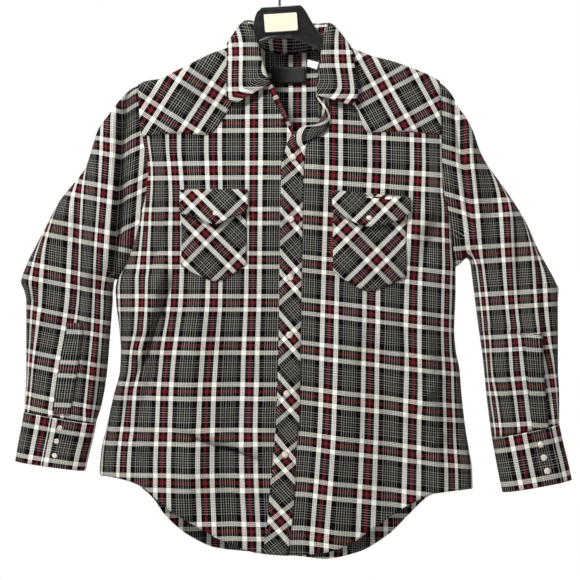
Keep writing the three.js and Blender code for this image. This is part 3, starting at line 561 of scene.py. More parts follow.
# Folds of the sleeves, in the columns of the body's folds.
SLEEVE_CREASE = 0.75
FOLDS_SLEEVE_RIGHT = {
    FRONT: [
        (-232, -175, -236, -400, 8, -9), (-248, -165, -254, -420, 6, 5), (-222, -330, -232, -430, 6, 4),
        (-243, -380, -247, -445, 5, -8), (-214, -215, -232, -245, 7, -3), (-292, -312, -309, -415, 8, -5),
        (-301, -318, -318, -415, 7, 3), (-297, -400, -304, -545, 7, -4.5), (-290, -400, -296, -560, 7, 3),
        (-276, -575, -288, -690, 5, 3.5), (-284, -580, -297, -680, 4, -3), (-370, -480, -376, -660, 6, -3.5),
        (-392, -500, -350, -520, 7, -3), (-310, -545, -360, -560, 7, -2), (-268, -450, -300, -480, 8, 2),
    ],
    BACK: [
        (-250, -260, -262, -430, 10, -4), (-300, -330, -320, -470, 10, 3), (-384, -500, -330, -540, 9, -3.5),
        (-280, -480, -340, -560, 9, 3), (-330, -560, -340, -670, 9, -3),
    ],
}
FOLDS_SLEEVE_LEFT = {
    FRONT: [
        (258, -185, 290, -400, 6, -7), (270, -175, 305, -420, 6, 5), (250, -300, 272, -420, 5, 3),
        (300, -220, 322, -400, 8, -3), (340, -330, 352, -500, 9, 3), (352, -380, 364, -540, 6, -3),
        (318, -554, 395, -562, 4, -4.5), (316, -548, 396, -554, 6, 3), (385, -330, 387, -430, 5, -3.5),
        (389, -430, 398, -590, 5, -4), (381, -420, 389, -580, 7, 3), (322, -560, 318, -700, 6, -4),
        (332, -590, 345, -690, 6, 3), (405, -590, 412, -680, 6, -4), (270, -215, 300, -260, 8, 2.5),
    ],
    BACK: [
        (262, -240, 268, -420, 10, -4), (330, -340, 350, -470, 10, 3), (300, -470, 380, -530, 9, -3.5),
        (350, -560, 360, -670, 9, 3), (320, -600, 390, -640, 9, -3),
    ],
}
NO_FOLDS = {FRONT: [], BACK: []}


def tube_point(rings, first, folds, k, turn, out=0.0):
    """Point of a tube of cloth. k counts its rings, turn is 0 at the outer fold and a quarter in front."""
    ox, oz, ix, iz, front, back = tracks(rings)

    def plain(k):
        c = np.sign(np.cos(turn)) * np.abs(np.cos(turn)) ** 0.8
        s = np.sign(np.sin(turn)) * np.abs(np.sin(turn)) ** 0.8
        share = (1 + c) / 2
        depth = np.where(s > 0, -s * front(k), -s * back(k))
        return np.stack([mix(ix(k), ox(k), share), depth, mix(iz(k), oz(k), share)], -1)

    p = plain(k)
    if first is not None:
        shift = first(turn) - plain(k * 0)
        p = p + shift * (1 - ease(np.maximum(k, 0) / 3))[..., None]
    facing = np.sin(turn)
    height = np.where(facing > 0, *[fold_height(folds[side], p[..., 0], p[..., 2]) for side in (FRONT, BACK)])
    height = SLEEVE_CREASE * height + RIPPLE * ripple(p[..., 0], p[..., 2], 2.5)
    height = height * ease(np.abs(facing) * 1.7) * ease(k / 1.2) * ease((len(rings) - 1 - k) / 0.8)
    p[..., 1] -= np.sign(facing) * (height + out * np.abs(facing) ** 0.5)
    return p


def armhole(across):
    """The armhole's edge of the body, by turn, as the first ring of a sleeve."""
    foot = UNDERARM_LEFT if across < 0.5 else UNDERARM_RIGHT
    top = shoulder_line(-214.0 if across < 0.5 else 242.0)
    long = top - foot + RIDGE * (math.pi / 2 - 1)

    def at(turn):
        down = long * (1 - np.cos(turn)) / 2
        edge = across + 0 * down
        in_front = (np.sin(turn) > 0)[..., None]
        return np.where(in_front, *[body_point(side, edge, down) for side in (FRONT, BACK)])

    return at


# Half widths of cloth that round the outer fold, which the front view doesn't show.
ROUND_SIDE = 0.5


def map_sleeve(s, k, turn, p):
    """Cloth map of a sleeve: read in front view, carried on round the outer fold to the back."""
    ox, _, ix = tracks(s["rings"])[:3]
    half = (ox(k) - ix(k)) / 2 * ease((k - 3) / 5)
    c = np.cos(turn)
    far = half * ROUND_SIDE * np.sign(c) * np.abs(c) ** 8
    outer = tube_point(s["rings"], armhole(s["across"]), NO_FOLDS, k, 0 * turn)
    u = stripe_number(s["pairs"], 0, p[..., 0] + far, p[..., 2])
    u_fold = stripe_number(s["pairs"], 0, outer[..., 0] + half * ROUND_SIDE, outer[..., 2])
    u = np.where(turn < 0, 2 * u_fold - u, u)
    fold = s["fold"](p[..., 2])
    before = np.minimum(p[..., 0], fold) if s["across"] == 0 else np.maximum(p[..., 0], fold)
    slanted = s["tilt"] * (before - s["level_x"]) + s["fold_tilt"] * (p[..., 0] - before)
    return np.stack([u, band_number(s["heights"])(p[..., 2] + slanted)], -1)


# Middles of the stripe pairs of each sleeve. Columns: z, then x of each pair.
PAIRS_SLEEVE_RIGHT = [
    (-285, -365, -305, -260.3), (-360, -363.8, -302.3, -264.8), (-450, -366.3, -305.7, -270.8),
    (-510, -369.8, -309.3, -273.8), (-555, -375.8, -315.3, -275.3), (-615, -386.3, -326.3, -279.8),
    (-675, -394.5, -335.3, -285),
]
PAIRS_SLEEVE_LEFT = [
    (-300, 279, 333, 385), (-360, 285, 339, 388), (-435, 293.3, 342.8, 388), (-510, 303, 348, 391),
    (-570, 307, 353.3, 398), (-615, 309, 356.3, 411), (-660, 318, 361.5, 420), (-705, 325, 366.8, 428),
]
SLEEVES = {
    "right": {
        "rings": SLEEVE_RIGHT, "folds": FOLDS_SLEEVE_RIGHT, "across": 0, "pairs": PAIRS_SLEEVE_RIGHT,
        "heights": [-141, -209, -277.5, -348.8, -416.3, -486.8, -552.8, -618.8, -683.3, -750],
        "tilt": 0.2, "level_x": -272, "fold": curve([(-187, -238), (-300, -242), (-410, -249), (-430, -200)]),
        "fold_tilt": -0.5,
    },
    "left": {
        "rings": SLEEVE_LEFT, "folds": FOLDS_SLEEVE_LEFT, "across": 1, "pairs": PAIRS_SLEEVE_LEFT,
        "heights": [-145, -219, -295.5, -371.3, -439, -510.5, -575.3, -640, -708.8, -776],
        "tilt": -0.06, "level_x": 335, "fold": curve([(-200, 262), (-300, 278), (-400, 292), (-430, 250)]),
        "fold_tilt": 0.35,
    },
}
for side, s in SLEEVES.items():
    turn = np.linspace(-math.pi, math.pi, 97)[:, None] * np.ones(133)
    k = np.ones(97)[:, None] * np.linspace(0, len(s["rings"]) - 1, 133)
    points = tube_point(s["rings"], armhole(s["across"]), s["folds"], k, turn)
    uv = map_sleeve(s, k, turn, points)
    sleeve = surface(f"sleeve_{side}_cloth", points[:-1], uv, brushed_cotton, [f"sleeve_{side}"], wrap=True)


# Cuffs. Each is a doubled and stiffened band of the same cotton, sewn round the sleeve's end. It laps over
# itself in front and closes with three snaps.
CUFF_RIGHT = [
    (-386, -679.5, -280, -697.5, 24, 23), (-390, -704, -285, -721, 24, 23),
    (-395, -729, -291, -745, 24, 23), (-399, -754, -296, -768, 25, 23),
]
CUFF_LEFT = [
    (424, -698.5, 322, -719.5, 24, 23), (430, -726, 327, -746, 24, 23),
    (437, -754, 332, -773, 24, 23), (443, -782, 338, -801, 25, 23),
]
CUFF_WALL = 1.8
CUFF_HEIGHT = 76
CUFF_LAP = 2.4
LAP = 0.55
LAP_FADE = 1.1


def cuff_lift(turn):
    """How far the cuff stands out where it laps over its own end, by the turn from the end that shows."""
    return CUFF_LAP * (1 - ease((turn - LAP - 0.1) / LAP_FADE))


def run_along(line):
    """Length along a row of points, up to each of them."""
    return np.cumsum(np.linalg.norm(np.diff(line, axis=0, prepend=line[:1]), axis=-1), axis=0)


CUFFS = {
    "right": {"rings": CUFF_RIGHT, "start": 1.45, "pair": 0.07},
    "left": {"rings": CUFF_LEFT, "start": 0.95, "pair": 0.2},
}
for side, s in CUFFS.items():
    run = np.linspace(0, 2 * math.pi + LAP, 111)[:, None] * np.ones(19)
    k = np.ones(111)[:, None] * np.linspace(0, 3, 19)
    turn = s["start"] + run
    plain = tube_point(s["rings"], None, NO_FOLDS, k, turn)
    ring = unit(np.gradient(plain, axis=0))
    fall = unit(np.gradient(plain, axis=1))
    normal = unit(np.cross(ring, fall))
    outward = plain - np.mean(plain, axis=0)
    normal *= np.sign(np.sum(normal * outward, -1, keepdims=True))
    points = plain + normal * cuff_lift(run)[..., None]
    u = run_along(plain[:, 9:10]) / ACROSS + s["pair"] + 0 * k
    v = 0.12 - (k / 3 * CUFF_HEIGHT) / DOWN
    cuff = surface(f"cuff_{side}_cloth", points, np.stack([u, v], -1), brushed_cotton, [f"cuff_{side}"],
                   CUFF_WALL)


# Sleeve plackets. Each is a folded strip of the same cotton, cut along the stripes and stitched over the slit
# above the cuff.
def find_on_tube(rings, first, folds, x, z):
    """Ring and turn of the point of a tube's front that is seen at (x, z)."""
    k = np.full(x.shape, len(rings) / 2)
    turn = np.full(x.shape, math.pi / 2)
    for _ in range(8):
        low, high = np.full(x.shape, 0.02), np.full(x.shape, math.pi - 0.02)
        rightwards = rings[-1][2] > rings[-1][0]
        for _ in range(16):
            turn = (low + high) / 2
            before = (tube_point(rings, first, folds, k, turn)[..., 0] < x) == rightwards
            low, high = np.where(before, turn, low), np.where(before, high, turn)
        low, high = np.zeros(x.shape), np.full(x.shape, len(rings) - 1.0)
        for _ in range(16):
            k = (low + high) / 2
            before = tube_point(rings, first, folds, k, turn)[..., 2] > z
            low, high = np.where(before, k, low), np.where(before, high, k)
    return k, turn


def on_tube(rings, first, folds, x, z, out):
    """A layer of cloth that lies on the front of a tube, seen at (x, z)."""
    k, turn = find_on_tube(rings, first, folds, x, z)
    here = tube_point(rings, first, folds, k, turn)
    around, back, lower, upper = [tube_point(rings, first, folds, k + dk, turn + dt)
                                  for dk, dt in ((0, 0.02), (0, -0.02), (0.03, 0), (-0.03, 0))]
    normal = unit(np.cross(around - back, lower - upper))
    normal *= np.where(normal[..., 1:2] > 0, -1, 1)
    return here + normal * np.broadcast_to(np.asarray(out, float), x.shape)[..., None]


PLACKET_LIFT = 1.9
PLACKET_SHARE = 0.38
PLACKETS = {
    "right": {
        "left": curve([(-683, -340), (-630, -334), (-555, -319)]),
        "right": curve([(-683, -316), (-660, -311), (-615, -304), (-555, -295)]),
        "from": -545, "to": -681, "middle": -312,
    },
    "left": {
        "left": curve([(-703, 380), (-620, 372), (-520, 366)]),
        "right": curve([(-703, 404), (-620, 396), (-520, 390)]),
        "from": -560, "to": -704, "middle": 388,
    },
}
for side, s in PLACKETS.items():
    sleeve = SLEEVES[side]
    u, v = grid(8, 36)
    z = mix(s["from"], s["to"], v)
    x = mix(s["left"](z), s["right"](z), u)
    points = on_tube(sleeve["rings"], armhole(sleeve["across"]), sleeve["folds"], x, z, PLACKET_LIFT)
    level = z + sleeve["tilt"] * (s["middle"] - sleeve["level_x"]) + 0.05 * (x - s["middle"]) + 3
    v = band_number(sleeve["heights"])(level)
    uv = np.stack([0.5 + (u - 0.5) * PLACKET_SHARE, v], -1)
    placket = surface(f"placket_{side}_cloth", points, uv, brushed_cotton, [f"sleeve_placket_{side}"], 1.6)


# Chest pockets and flaps. They are patches of the same cotton, cut on the bias with pointed lower edges. The
# pockets are stitched to the fronts round three sides, the flaps along their tops.
def straight(value):
    """A level line."""
    return lambda other: value + 0 * other


def shape_grid(x0, x1, top, bottom, columns, rows):
    """Grid of (x, z) between two upright sides, a top and a bottom."""
    u, v = grid(columns, rows)
    x = mix(x0, x1, u)
    return x, mix(top(x), bottom(x), v)


POCKET_LIFT = 1.6
FLAP_LIFT = 3.6
FLAP_LENGTH = 45


def pocket_full(inner):
    """How far a pocket bulges, by the distance from its sewn edge."""
    return 2.6 * ease(inner / 26)


def flap_curl(below):
    """How far the flap stands off towards its free lower edge, by the distance below its top."""
    return 7 * np.clip(below / FLAP_LENGTH, 0, 1.2) ** 1.6


# "middle" and "flap_middle" are where the wine lines cross on the pocket and on its flap.
POCKETS = {
    "right": {
        "x0": -147, "x1": -49, "top": straight(-352), "middle": (-110, -411), "turn": 45,
        "low": curve([(-147, -460), (-119, -474), (-95, -482), (-82, -478), (-49, -456)]),
        "flap_x0": -149, "flap_x1": -47, "flap_top": straight(-345), "flap_middle": (-130, -356),
        "flap_low": curve([(-149, -380), (-127, -387), (-94, -397), (-74, -388), (-59, -384), (-47, -374)]),
    },
    "left": {
        "x0": 80, "x1": 190, "top": straight(-356), "middle": (145, -450), "turn": -45,
        "low": curve([(80, -468), (98, -480), (134, -497), (170, -484), (190, -476)]),
        "flap_x0": 79, "flap_x1": 196, "flap_top": curve([(79, -346), (196, -357)]),
        "flap_middle": (157, -361),
        "flap_low": curve([(79, -379), (98, -388), (131, -401), (158, -397), (181, -389), (196, -379)]),
    },
}
for side, s in POCKETS.items():
    x, z = shape_grid(s["x0"], s["x1"], s["top"], s["low"], 24, 28)
    inner = np.minimum(np.minimum(x - s["x0"], s["x1"] - x), z - s["low"](x))
    pocket = surface(f"pocket_{side}_cloth", on_body(FRONT, x, z, POCKET_LIFT + pocket_full(inner)),
                     map_bias(x, z, s["middle"], s["turn"]), brushed_cotton, [f"pocket_{side}"], 1.3)
    x, z = shape_grid(s["flap_x0"], s["flap_x1"], s["flap_top"], s["flap_low"], 26, 12)
    flap = surface(f"flap_{side}_cloth", on_body(FRONT, x, z, FLAP_LIFT + flap_curl(s["flap_top"](x) - z)),
                   map_bias(x, z, s["flap_middle"], s["turn"]), brushed_cotton, [f"pocket_flap_{side}"], 1.6)


# Front band. It is a bias strip of the same cotton, stitched along the closing edge of the left front. Above
# the top snap it is unfastened and rolls open to the collar.
BAND_LIFT = 2.2
BAND_WIDTH = 34
# The two edges of the rolled part, x and z, from the top snap to the collar.
ROLL_LEFT = [
    (8, -288), (11, -277), (20, -261), (35, -251), (51, -247), (61, -238),
    (63, -228), (58, -216), (56, -206),
]
ROLL_RIGHT = [
    (40, -284), (42, -277), (48, -270), (58, -264), (70, -256), (76, -244),
    (76, -230), (72, -216), (66, -204),
]
ROLL_OUT = curve([(0, 0.0), (2, 4), (4, 8), (6, 6), (8, 2)])
z = np.linspace(-892, -288, 130)
straight_left = np.stack([band_left(z), z], -1)
straight_right = np.stack([band_right(z), z], -1)
along = np.linspace(0.25, 8, 40)
roll = [np.stack([line(along) for line in tracks(row)], -1) for row in (ROLL_LEFT, ROLL_RIGHT)]
left = np.concatenate([straight_left, roll[0]])
right = np.concatenate([straight_right, roll[1]])
lift = np.concatenate([0 * z, ROLL_OUT(along)])
w = np.linspace(0, 1, 11)[:, None]
x = mix(left[:, 0], right[:, 0], w)
z = mix(left[:, 1], right[:, 1], w)
z = np.maximum(z, front_hem(x))
out = BAND_LIFT + lift * np.sin(math.pi * (0.15 + 0.75 * w))
run = np.concatenate([straight_right[:, 1], straight_right[-1, 1] + 2.4 * np.arange(1, len(along) + 1)])
run = run * np.ones_like(w)
uv = map_bias(mix(0, BAND_WIDTH, w) + 0 * run, run, (26, -388.5), 42, 1.02)
band = surface("front_band_cloth", on_body(FRONT, x, z, out), uv, brushed_cotton, ["front_band"], 1.8)


# Turned edge of the right front. The edge of the same cotton is folded outwards beside the neck opening and
# rolls, free, down to the band.
LIP = 9
LIP_LIFT = 1.4
LIP_ROLL = 3.2
w, s = grid(10, 59)
edge_x = mix(-24, 30, s)
edge_z = neck_right(edge_x)
fall = neck_right(edge_x + 0.5) - edge_z
long = np.hypot(0.5, fall)
wide = LIP * (0.35 + 0.65 * np.sin(math.pi * np.clip(s * 1.05 + 0.1, 0, 1)) ** 0.7)
x = edge_x + fall / long * (w - 0.1) * wide
z = edge_z - 0.5 / long * (w - 0.1) * wide
out = LIP_LIFT + LIP_ROLL * np.sin(math.pi * (0.12 + 0.8 * w)) + 0.5 * np.sin(s * 31)
uv = np.stack([w * 0.13 - 0.05, s * 2.1 + 0.3], -1)
lip = surface("front_edge_lip_cloth", on_body(FRONT, x, z, out), uv, brushed_cotton)


# Collar. A stand is sewn round the neck. A stiffened leaf of the same cotton is sewn to its top and folds
# down over it to two points in front.
# Stations round the neck from the point at the left of the view: foot, fold and outer edge of the leaf.
COLLAR = [
    ((-22, -23, -168), (-14, -28, -186), (-62, -30, -213)),
    ((-27, -19, -162), (-20, -26, -168), (-78, -30, -211)),
    ((-31, -16, -151), (-28, -21, -142), (-80, -27, -178)),
    ((-40, -13, -130), (-38, -14, -107), (-79, -21, -140)),
    ((-50, -1, -112), (-50, 1, -88), (-79, -6, -122)),
    ((-38, 17, -119), (-43, 18, -84), (-72, 16, -116)),
    ((-20, 31, -127), (-27, 35, -84), (-54, 40, -122)),
    ((14, 38, -131), (14, 45, -83), (14, 54, -132)),
    ((48, 31, -127), (53, 35, -86), (82, 40, -123)),
    ((68, 17, -119), (71, 18, -88), (99, 14, -117)),
    ((75, -1, -114), (74, 1, -92), (105, -8, -123)),
    ((65, -11, -138), (67, -13, -112), (110, -21, -139)),
    ((60, -13, -162), (62, -20, -146), (114, -27, -165)),
    ((57, -19, -190), (58, -26, -178), (118, -30, -200)),
    ((54, -21, -214), (56, -28, -203), (108, -31, -218)),
]
COLLAR_LAST = len(COLLAR) - 1
COLLAR_WALL = 1.8
COLLAR_LIFT = 3.4


def collar_line(part, k):
    """Points along the foot, the fold or the outer edge."""
    return np.stack([line(k) for line in tracks([row[part] for row in COLLAR])], -1)


k = np.linspace(0, COLLAR_LAST, 211)[:, None] * np.ones(25)
v = np.ones(211)[:, None] * np.linspace(0, 1, 25)
foot, fold, edge = [collar_line(part, k) for part in range(3)]
points = mix(fold, edge, v[..., None])
along = collar_line(1, np.minimum(k + 0.1, COLLAR_LAST)) - collar_line(1, np.maximum(k - 0.1, 0))
up = unit(np.cross(edge - fold, along))
facing_back = (k > 3.8) & (k < 10.2)
wrong = up[..., 2] + np.where(facing_back, up[..., 1], -up[..., 1]) < 0
up = np.where(wrong[..., None], -up, up)
points = points + up * (4 * np.sin(math.pi * np.sqrt(v)))[..., None]
low = (points[..., 2] < shoulder_line(points[..., 0]) - 1) & (v > 0.2)
cloth_front = on_body(FRONT, points[..., 0], points[..., 2], 0)[..., 1]
cloth_back = on_body(BACK, points[..., 0], points[..., 2], 0)[..., 1]
over = np.where(points[..., 1] < 0, np.minimum(points[..., 1], cloth_front - COLLAR_LIFT),
                np.maximum(points[..., 1], cloth_back + COLLAR_LIFT))
points[..., 1] = np.where(low, over, points[..., 1])
length = np.linalg.norm(edge - fold, axis=-1)
middle = mix(fold, edge, 0.5)[:, :1]
way = run_along(middle)
# Plaid of the leaf. Its stripes run along its outer edge. Its bands lie level in front, as seen, and are
# spaced between the shoulders by a whole number of repeats. Pairs of values are left, then right.
EDGE_TO_PAIR = (16.5, 19.5)
BAND_LEVELS = (-136.5, -147.7)
SHOULDERS = (4, 10)
ways = np.interp(SHOULDERS, k[:, 0], way[:, 0])
levels = np.interp(SHOULDERS, k[:, 0], middle[:, 0, 2])
left_number = (levels[0] - BAND_LEVELS[0]) / DOWN
right_gap = (levels[1] - BAND_LEVELS[1]) / DOWN
whole = round((ways[1] - ways[0]) / DOWN + left_number + right_gap)
behind = mix(left_number, whole - right_gap, (way - ways[0]) / (ways[1] - ways[0]))
number = mix((points[..., 2] - BAND_LEVELS[0]) / DOWN, behind, ease((k - SHOULDERS[0] + 1) / 2))
number = mix(number, whole - (points[..., 2] - BAND_LEVELS[1]) / DOWN, ease((k - SHOULDERS[1] + 1) / 2))
uv = np.stack([
    ((v - 1) * length + mix(*EDGE_TO_PAIR, ease(k / COLLAR_LAST))) / ACROSS,
    number,
], -1)
leaf = surface("collar_leaf_cloth", points, uv, brushed_cotton, ["collar_leaf"], COLLAR_WALL)
leaf.modifiers["wall"].offset = 0

STAND_HEIGHT = 30
k = np.linspace(0, COLLAR_LAST, 141)[:, None] * np.ones(9)
v = np.ones(141)[:, None] * np.linspace(0, 1, 9)
foot, fold = collar_line(0, k), collar_line(1, k)
short = 1.6 / np.linalg.norm(fold - foot, axis=-1)
points = mix(foot, fold, (v * (1 - short))[..., None])
uv = np.stack([0.36 + v * STAND_HEIGHT / ACROSS, run_along(foot[:, :1]) / DOWN + 0 * v], -1)
stand = surface("collar_stand_cloth", points, uv, brushed_cotton, ["collar_stand"], 1.4)
stand.modifiers["wall"].offset = 0


# Neck label and size tab. They are two small patches of woven satin, stitched to the inside of the back yoke
# and left bare.
def satin(name, colour, light_colour, rib):
    """Woven polyester satin: long shiny floats catch the light in one direction over fine cross ribs."""
    material, tree, shader = new_material(name, 0.5, Anisotropic=0.5, Sheen_Weight=0.05,
                                          Specular_IOR_Level=0.3)
    place = add(tree, "TexCoord")
    waves = {"Scale": 1000 / rib / 2, "Distortion": 0.4}
    ribs = add(tree, "TexWave", {0: place.outputs["Object"]}, waves, bands_direction="Z")
    tone = add(tree, "Mix", {0: ribs.outputs[1]}, {6: linear(colour), 7: linear(light_colour)},
               data_type="RGBA")
    tree.links.new(tone.outputs[2], shader.inputs["Base Color"])
    bump = add(tree, "Bump", {"Height": ribs.outputs[1]}, {"Strength": 0.35, "Distance": 0.0001})
    tree.links.new(bump.outputs[0], shader.inputs["Normal"])
    return material


def patch(name, corners, out, material, nodes, wall):
    """Small piece on the inside of the back, from its corners (x, z)."""
    u, v = grid(14, 8)
    x, z = [mix(mix(a, b, u), mix(d, c, u), v) for a, b, c, d in zip(*corners)]
    return surface(name, on_body(BACK, x, z, out), np.stack([u, v], -1), material, nodes, wall)


black_satin = satin("woven_black_satin", "#060607", "#101011", 0.7)
white_satin = satin("woven_white_satin", "#e9e8e4", "#f7f6f2", 0.6)
label = patch("neck_label_satin", [(-13, -152), (41, -152), (41, -178), (-13, -178)], -3.2, black_satin,
              ["neck_label"], 0.5)
tab = patch("size_tab_satin", [(44, -141), (61, -147), (58, -158), (43, -152)], -2.6, white_satin,
            ["size_tab"], 0.4)


# Stitching. Lockstitch in dark polyester thread runs along every folded edge and holds the pieces down. There
# is one short bar for each stitch that shows.
STITCH = 2.3
STITCH_PITCH = 3.2
THREAD = 0.42


def two_tone(name, roughness, dark, light, noise, **sockets):
    """Material that drifts between two tones, with the values of its noise."""
    material, tree, shader = new_material(name, roughness, **sockets)
    place = add(tree, "TexCoord")
    drift = add(tree, "TexNoise", {0: place.outputs["Object"]}, noise)
    tone = add(tree, "Mix", {0: drift}, {6: linear(dark), 7: linear(light)}, data_type="RGBA")
    tree.links.new(tone.outputs[2], shader.inputs["Base Color"])
    return material


# Spun polyester: dark grey with a faint nap, a little glossier than the cloth.
thread = two_tone("polyester_thread", 0.55, "#2a2728", "#6a6664", {"Scale": 700}, Sheen_Weight=0.2)


def tube_faces(start, rows, around):
    """Quads between rows of corners that close round, the first corner numbered start."""
    faces = []
    for row in range(rows - 1):
        for a in range(around):
            b = (a + 1) % around
            i = start + row * around
            faces.append((i + a, i + b, i + around + b, i + around + a))
    return faces


def stitches(name, paths):
    """Bars along paths on the cloth, each path an array of points in mm that already lies on it."""
    corners, faces = [], []
    sides = 5
    for path in paths:
        gaps = np.linalg.norm(np.diff(path, axis=0), axis=1)
        at = np.concatenate([[0], np.cumsum(gaps)])
        for start in np.arange(1.0, at[-1] - STITCH, STITCH_PITCH):
            ends = [np.array([np.interp(start + d, at, column) for column in path.T]) for d in (0, STITCH)]
            way = unit(ends[1] - ends[0])
            side = unit(np.cross(way, [0.1, 1, 0.05]))
            up = np.cross(side, way)
            base = len(corners)
            for end, push in ((ends[0], 0), (mix(ends[0], ends[1], 0.5), THREAD * 0.6), (ends[1], 0)):
                size = THREAD * (0.62 if push == 0 else 1)
                for a in range(sides):
                    turn = a / sides * 2 * math.pi
                    ring = side * math.cos(turn) + up * math.sin(turn)
                    corners.append(end + ring * size / 1.4 + up * push * np.sign(up[1]) * -1)
            faces += tube_faces(base, 3, sides)
            faces.append(tuple(base + a for a in range(sides)))
            faces.append(tuple(base + 2 * sides + a for a in reversed(range(sides))))
    return make_piece(name, corners, faces, [thread])


def seam_by_x(line, x0, x1, out, side=FRONT, count=160):
    """Path on the body along a line that gives z by x."""
    x = np.linspace(x0, x1, count)
    return on_body(side, x, line(x), out)


def seam_by_z(line, z0, z1, out, count=300):
    """Path on the front along a line that gives x by z."""
    z = np.linspace(z0, z1, count)
    return on_body(FRONT, line(z), z, out)


SEAM_IN = 1.8
HEM_IN = 7
BAND_IN = 4.5
# The two rows round a pocket and a flap, and how far a thread lies on the cloth.
POCKET_ROWS = (2, 8)
ON_CLOTH = 0.2
yoke_top = YOKE_LIFT + 0.15
stitches("yoke_stitching", [
    seam_by_x(lambda x: yoke_seam_right(x) + SEAM_IN, -205, -60, yoke_top),
    seam_by_x(lambda x: yoke_seam_left(x) + SEAM_IN, 92, 240, yoke_top),
    seam_by_x(lambda x: back_seam(x) + SEAM_IN, -208, 240, yoke_top, BACK, 300),
])
stitches("hem_stitching", [
    seam_by_x(lambda x: front_hem(x) + HEM_IN, -262, -22, 0.15, count=240),
    seam_by_x(lambda x: front_hem(x) + HEM_IN, 20, 284, 0.15, count=240),
    seam_by_x(lambda x: back_hem(x) + HEM_IN, -262, 284, 0.15, BACK, 400),
])
stitches("band_stitching", [
    seam_by_z(lambda z: band_left(z) + BAND_IN, -884, -290, BAND_LIFT + ON_CLOTH),
    seam_by_z(lambda z: band_right(z) - BAND_IN, -884, -290, BAND_LIFT + ON_CLOTH),
])
for side, s in POCKETS.items():
    x0, x1, flap_top = s["x0"], s["x1"], s["flap_top"]
    paths = []
    for inset in POCKET_ROWS:
        lift = POCKET_LIFT + pocket_full(inset) + ON_CLOTH
        for edge in (x0 + inset, x1 - inset):
            z = np.linspace(-358, float(s["low"](edge)) + inset, 60)
            paths.append(on_body(FRONT, edge + 0 * z, z, lift))
        paths.append(seam_by_x(lambda x: s["low"](x) + inset * 1.1, x0 + inset, x1 - inset, lift))
    for inset in POCKET_ROWS:
        x = np.linspace(s["flap_x0"] + inset, s["flap_x1"] - inset, 90)
        for z in (s["flap_low"](x) + inset * 1.05, flap_top(x) - inset):
            paths.append(on_body(FRONT, x, z, FLAP_LIFT + flap_curl(flap_top(x) - z) + ON_CLOTH))
    stitches(f"pocket_{side}_stitching", paths)


# Snaps. Each is a cap of pearl resin in a ring of plated brass, whose prongs are clinched through the cloth.
# Six close the band, one each flap and three each cuff.
# Columns of the two profiles: radius and height over the cloth.
SNAP_RIM = [(5.3, 0), (5.5, 0.5), (5.4, 1.1), (5.15, 1.35), (4.9, 1.15), (4.8, 0.9)]
SNAP_PEARL = [(4.85, 0.9), (4.6, 1.35), (3.7, 1.85), (2.3, 2.15), (1.0, 2.28), (0.02, 2.3)]
# Pearl resin: cream and grey layers swirl under a glossy, slightly see-through skin.
pearl, pearl_tree, pearl_shader = new_material(
    "moulded_pearl_resin", 0.2, Coat_Weight=0.6, Coat_Roughness=0.08, Subsurface_Weight=0.15,
    Subsurface_Scale=0.002, IOR=1.53,
)
place = add(pearl_tree, "TexCoord")
cloud = add(pearl_tree, "TexNoise", {0: place.outputs["Object"]},
            {"Scale": 260, "Detail": 3, "Distortion": 1.5})
layers = add(pearl_tree, "ValToRGB", {0: cloud})
for stop, (position, colour) in zip(layers.color_ramp.elements, ((0.35, "#b2a498"), (0.65, "#f2e9de"))):
    stop.position = position
    stop.color = linear(colour)
pearl_tree.links.new(layers.outputs[0], pearl_shader.inputs["Base Color"])
# Nickel on brass: a dark bright ring, dulled in spots by wear.
plated = two_tone("nickel_plated_brass", 0.28, "#4e4a45", "#8a857c", {"Scale": 500}, Metallic=1.0)


def snap(node, base, normal):
    """Lathed cap with a ring and a pearl dome, standing on the cloth."""
    corners, faces, kinds = [], [], []
    turn_to = Vector((0, 0, 1)).rotation_difference(Vector(normal)).to_matrix()
    around = 40
    for kind, profile in enumerate((SNAP_RIM, SNAP_PEARL)):
        quads = tube_faces(len(corners), len(profile), around)
        faces += quads
        kinds += [kind] * len(quads)
        for r, h in profile:
            for a in range(around):
                angle = a / around * 2 * math.pi
                corners.append(Vector(base) + turn_to @ Vector((r * math.cos(angle), r * math.sin(angle), h)))
    cap = make_piece(node + "_cap", corners, faces, [plated, pearl], [node])
    cap.data.polygons.foreach_set("material_index", kinds)


def snap_on_body(node, x, z, out):
    """Snap on the front at (x, z), raised by what it sits on."""
    across, down = locate(FRONT, np.array([x], float), np.array([z], float))
    normal = body_normal(FRONT, across, down)
    snap(node, (body_point(FRONT, across, down) + normal * out)[0], normal[0])


BAND_SNAPS = [(20, -296), (17, -389), (16, -476), (15, -562), (11, -650), (8, -741)]
for number, (x, z) in enumerate(BAND_SNAPS, 1):
    snap_on_body(f"snap_front_{number}", x, z, BAND_LIFT)
snap_on_body("snap_flap_right", -94, -382, FLAP_LIFT + flap_curl(37))
snap_on_body("snap_flap_left", 133, -389, FLAP_LIFT + flap_curl(38))
CUFF_SNAPS = {
    "right": [(-330, -702), (-335, -722), (-338, -744)],
    "left": [(392, -727), (397, -747), (402, -767)],
}
for side, spots in CUFF_SNAPS.items():
    for number, (x, z) in enumerate(spots, 1):
        spot = np.array([[x, z], [x + 2, z], [x, z + 2]], float)
        here = on_tube(CUFFS[side]["rings"], None, NO_FOLDS, spot[:, 0], spot[:, 1], CUFF_LAP)
        normal = np.cross(here[1] - here[0], here[2] - here[0])
        normal = unit(normal * (-1 if normal[1] > 0 else 1))
        snap(f"snap_cuff_{side}_{number}", here[0], normal)


# Hanger. It is one black moulding of impact polystyrene, with broad rounded arms under the shoulders and a
# bridge that carries the hook and a blank card.
HANGER_DROP = 2.5
ARM_INSET = 0.7


def arm_top(x):
    """Underside of the shoulder that rests on the arm."""
    return float(shoulder_line(float(x))) - HANGER_DROP


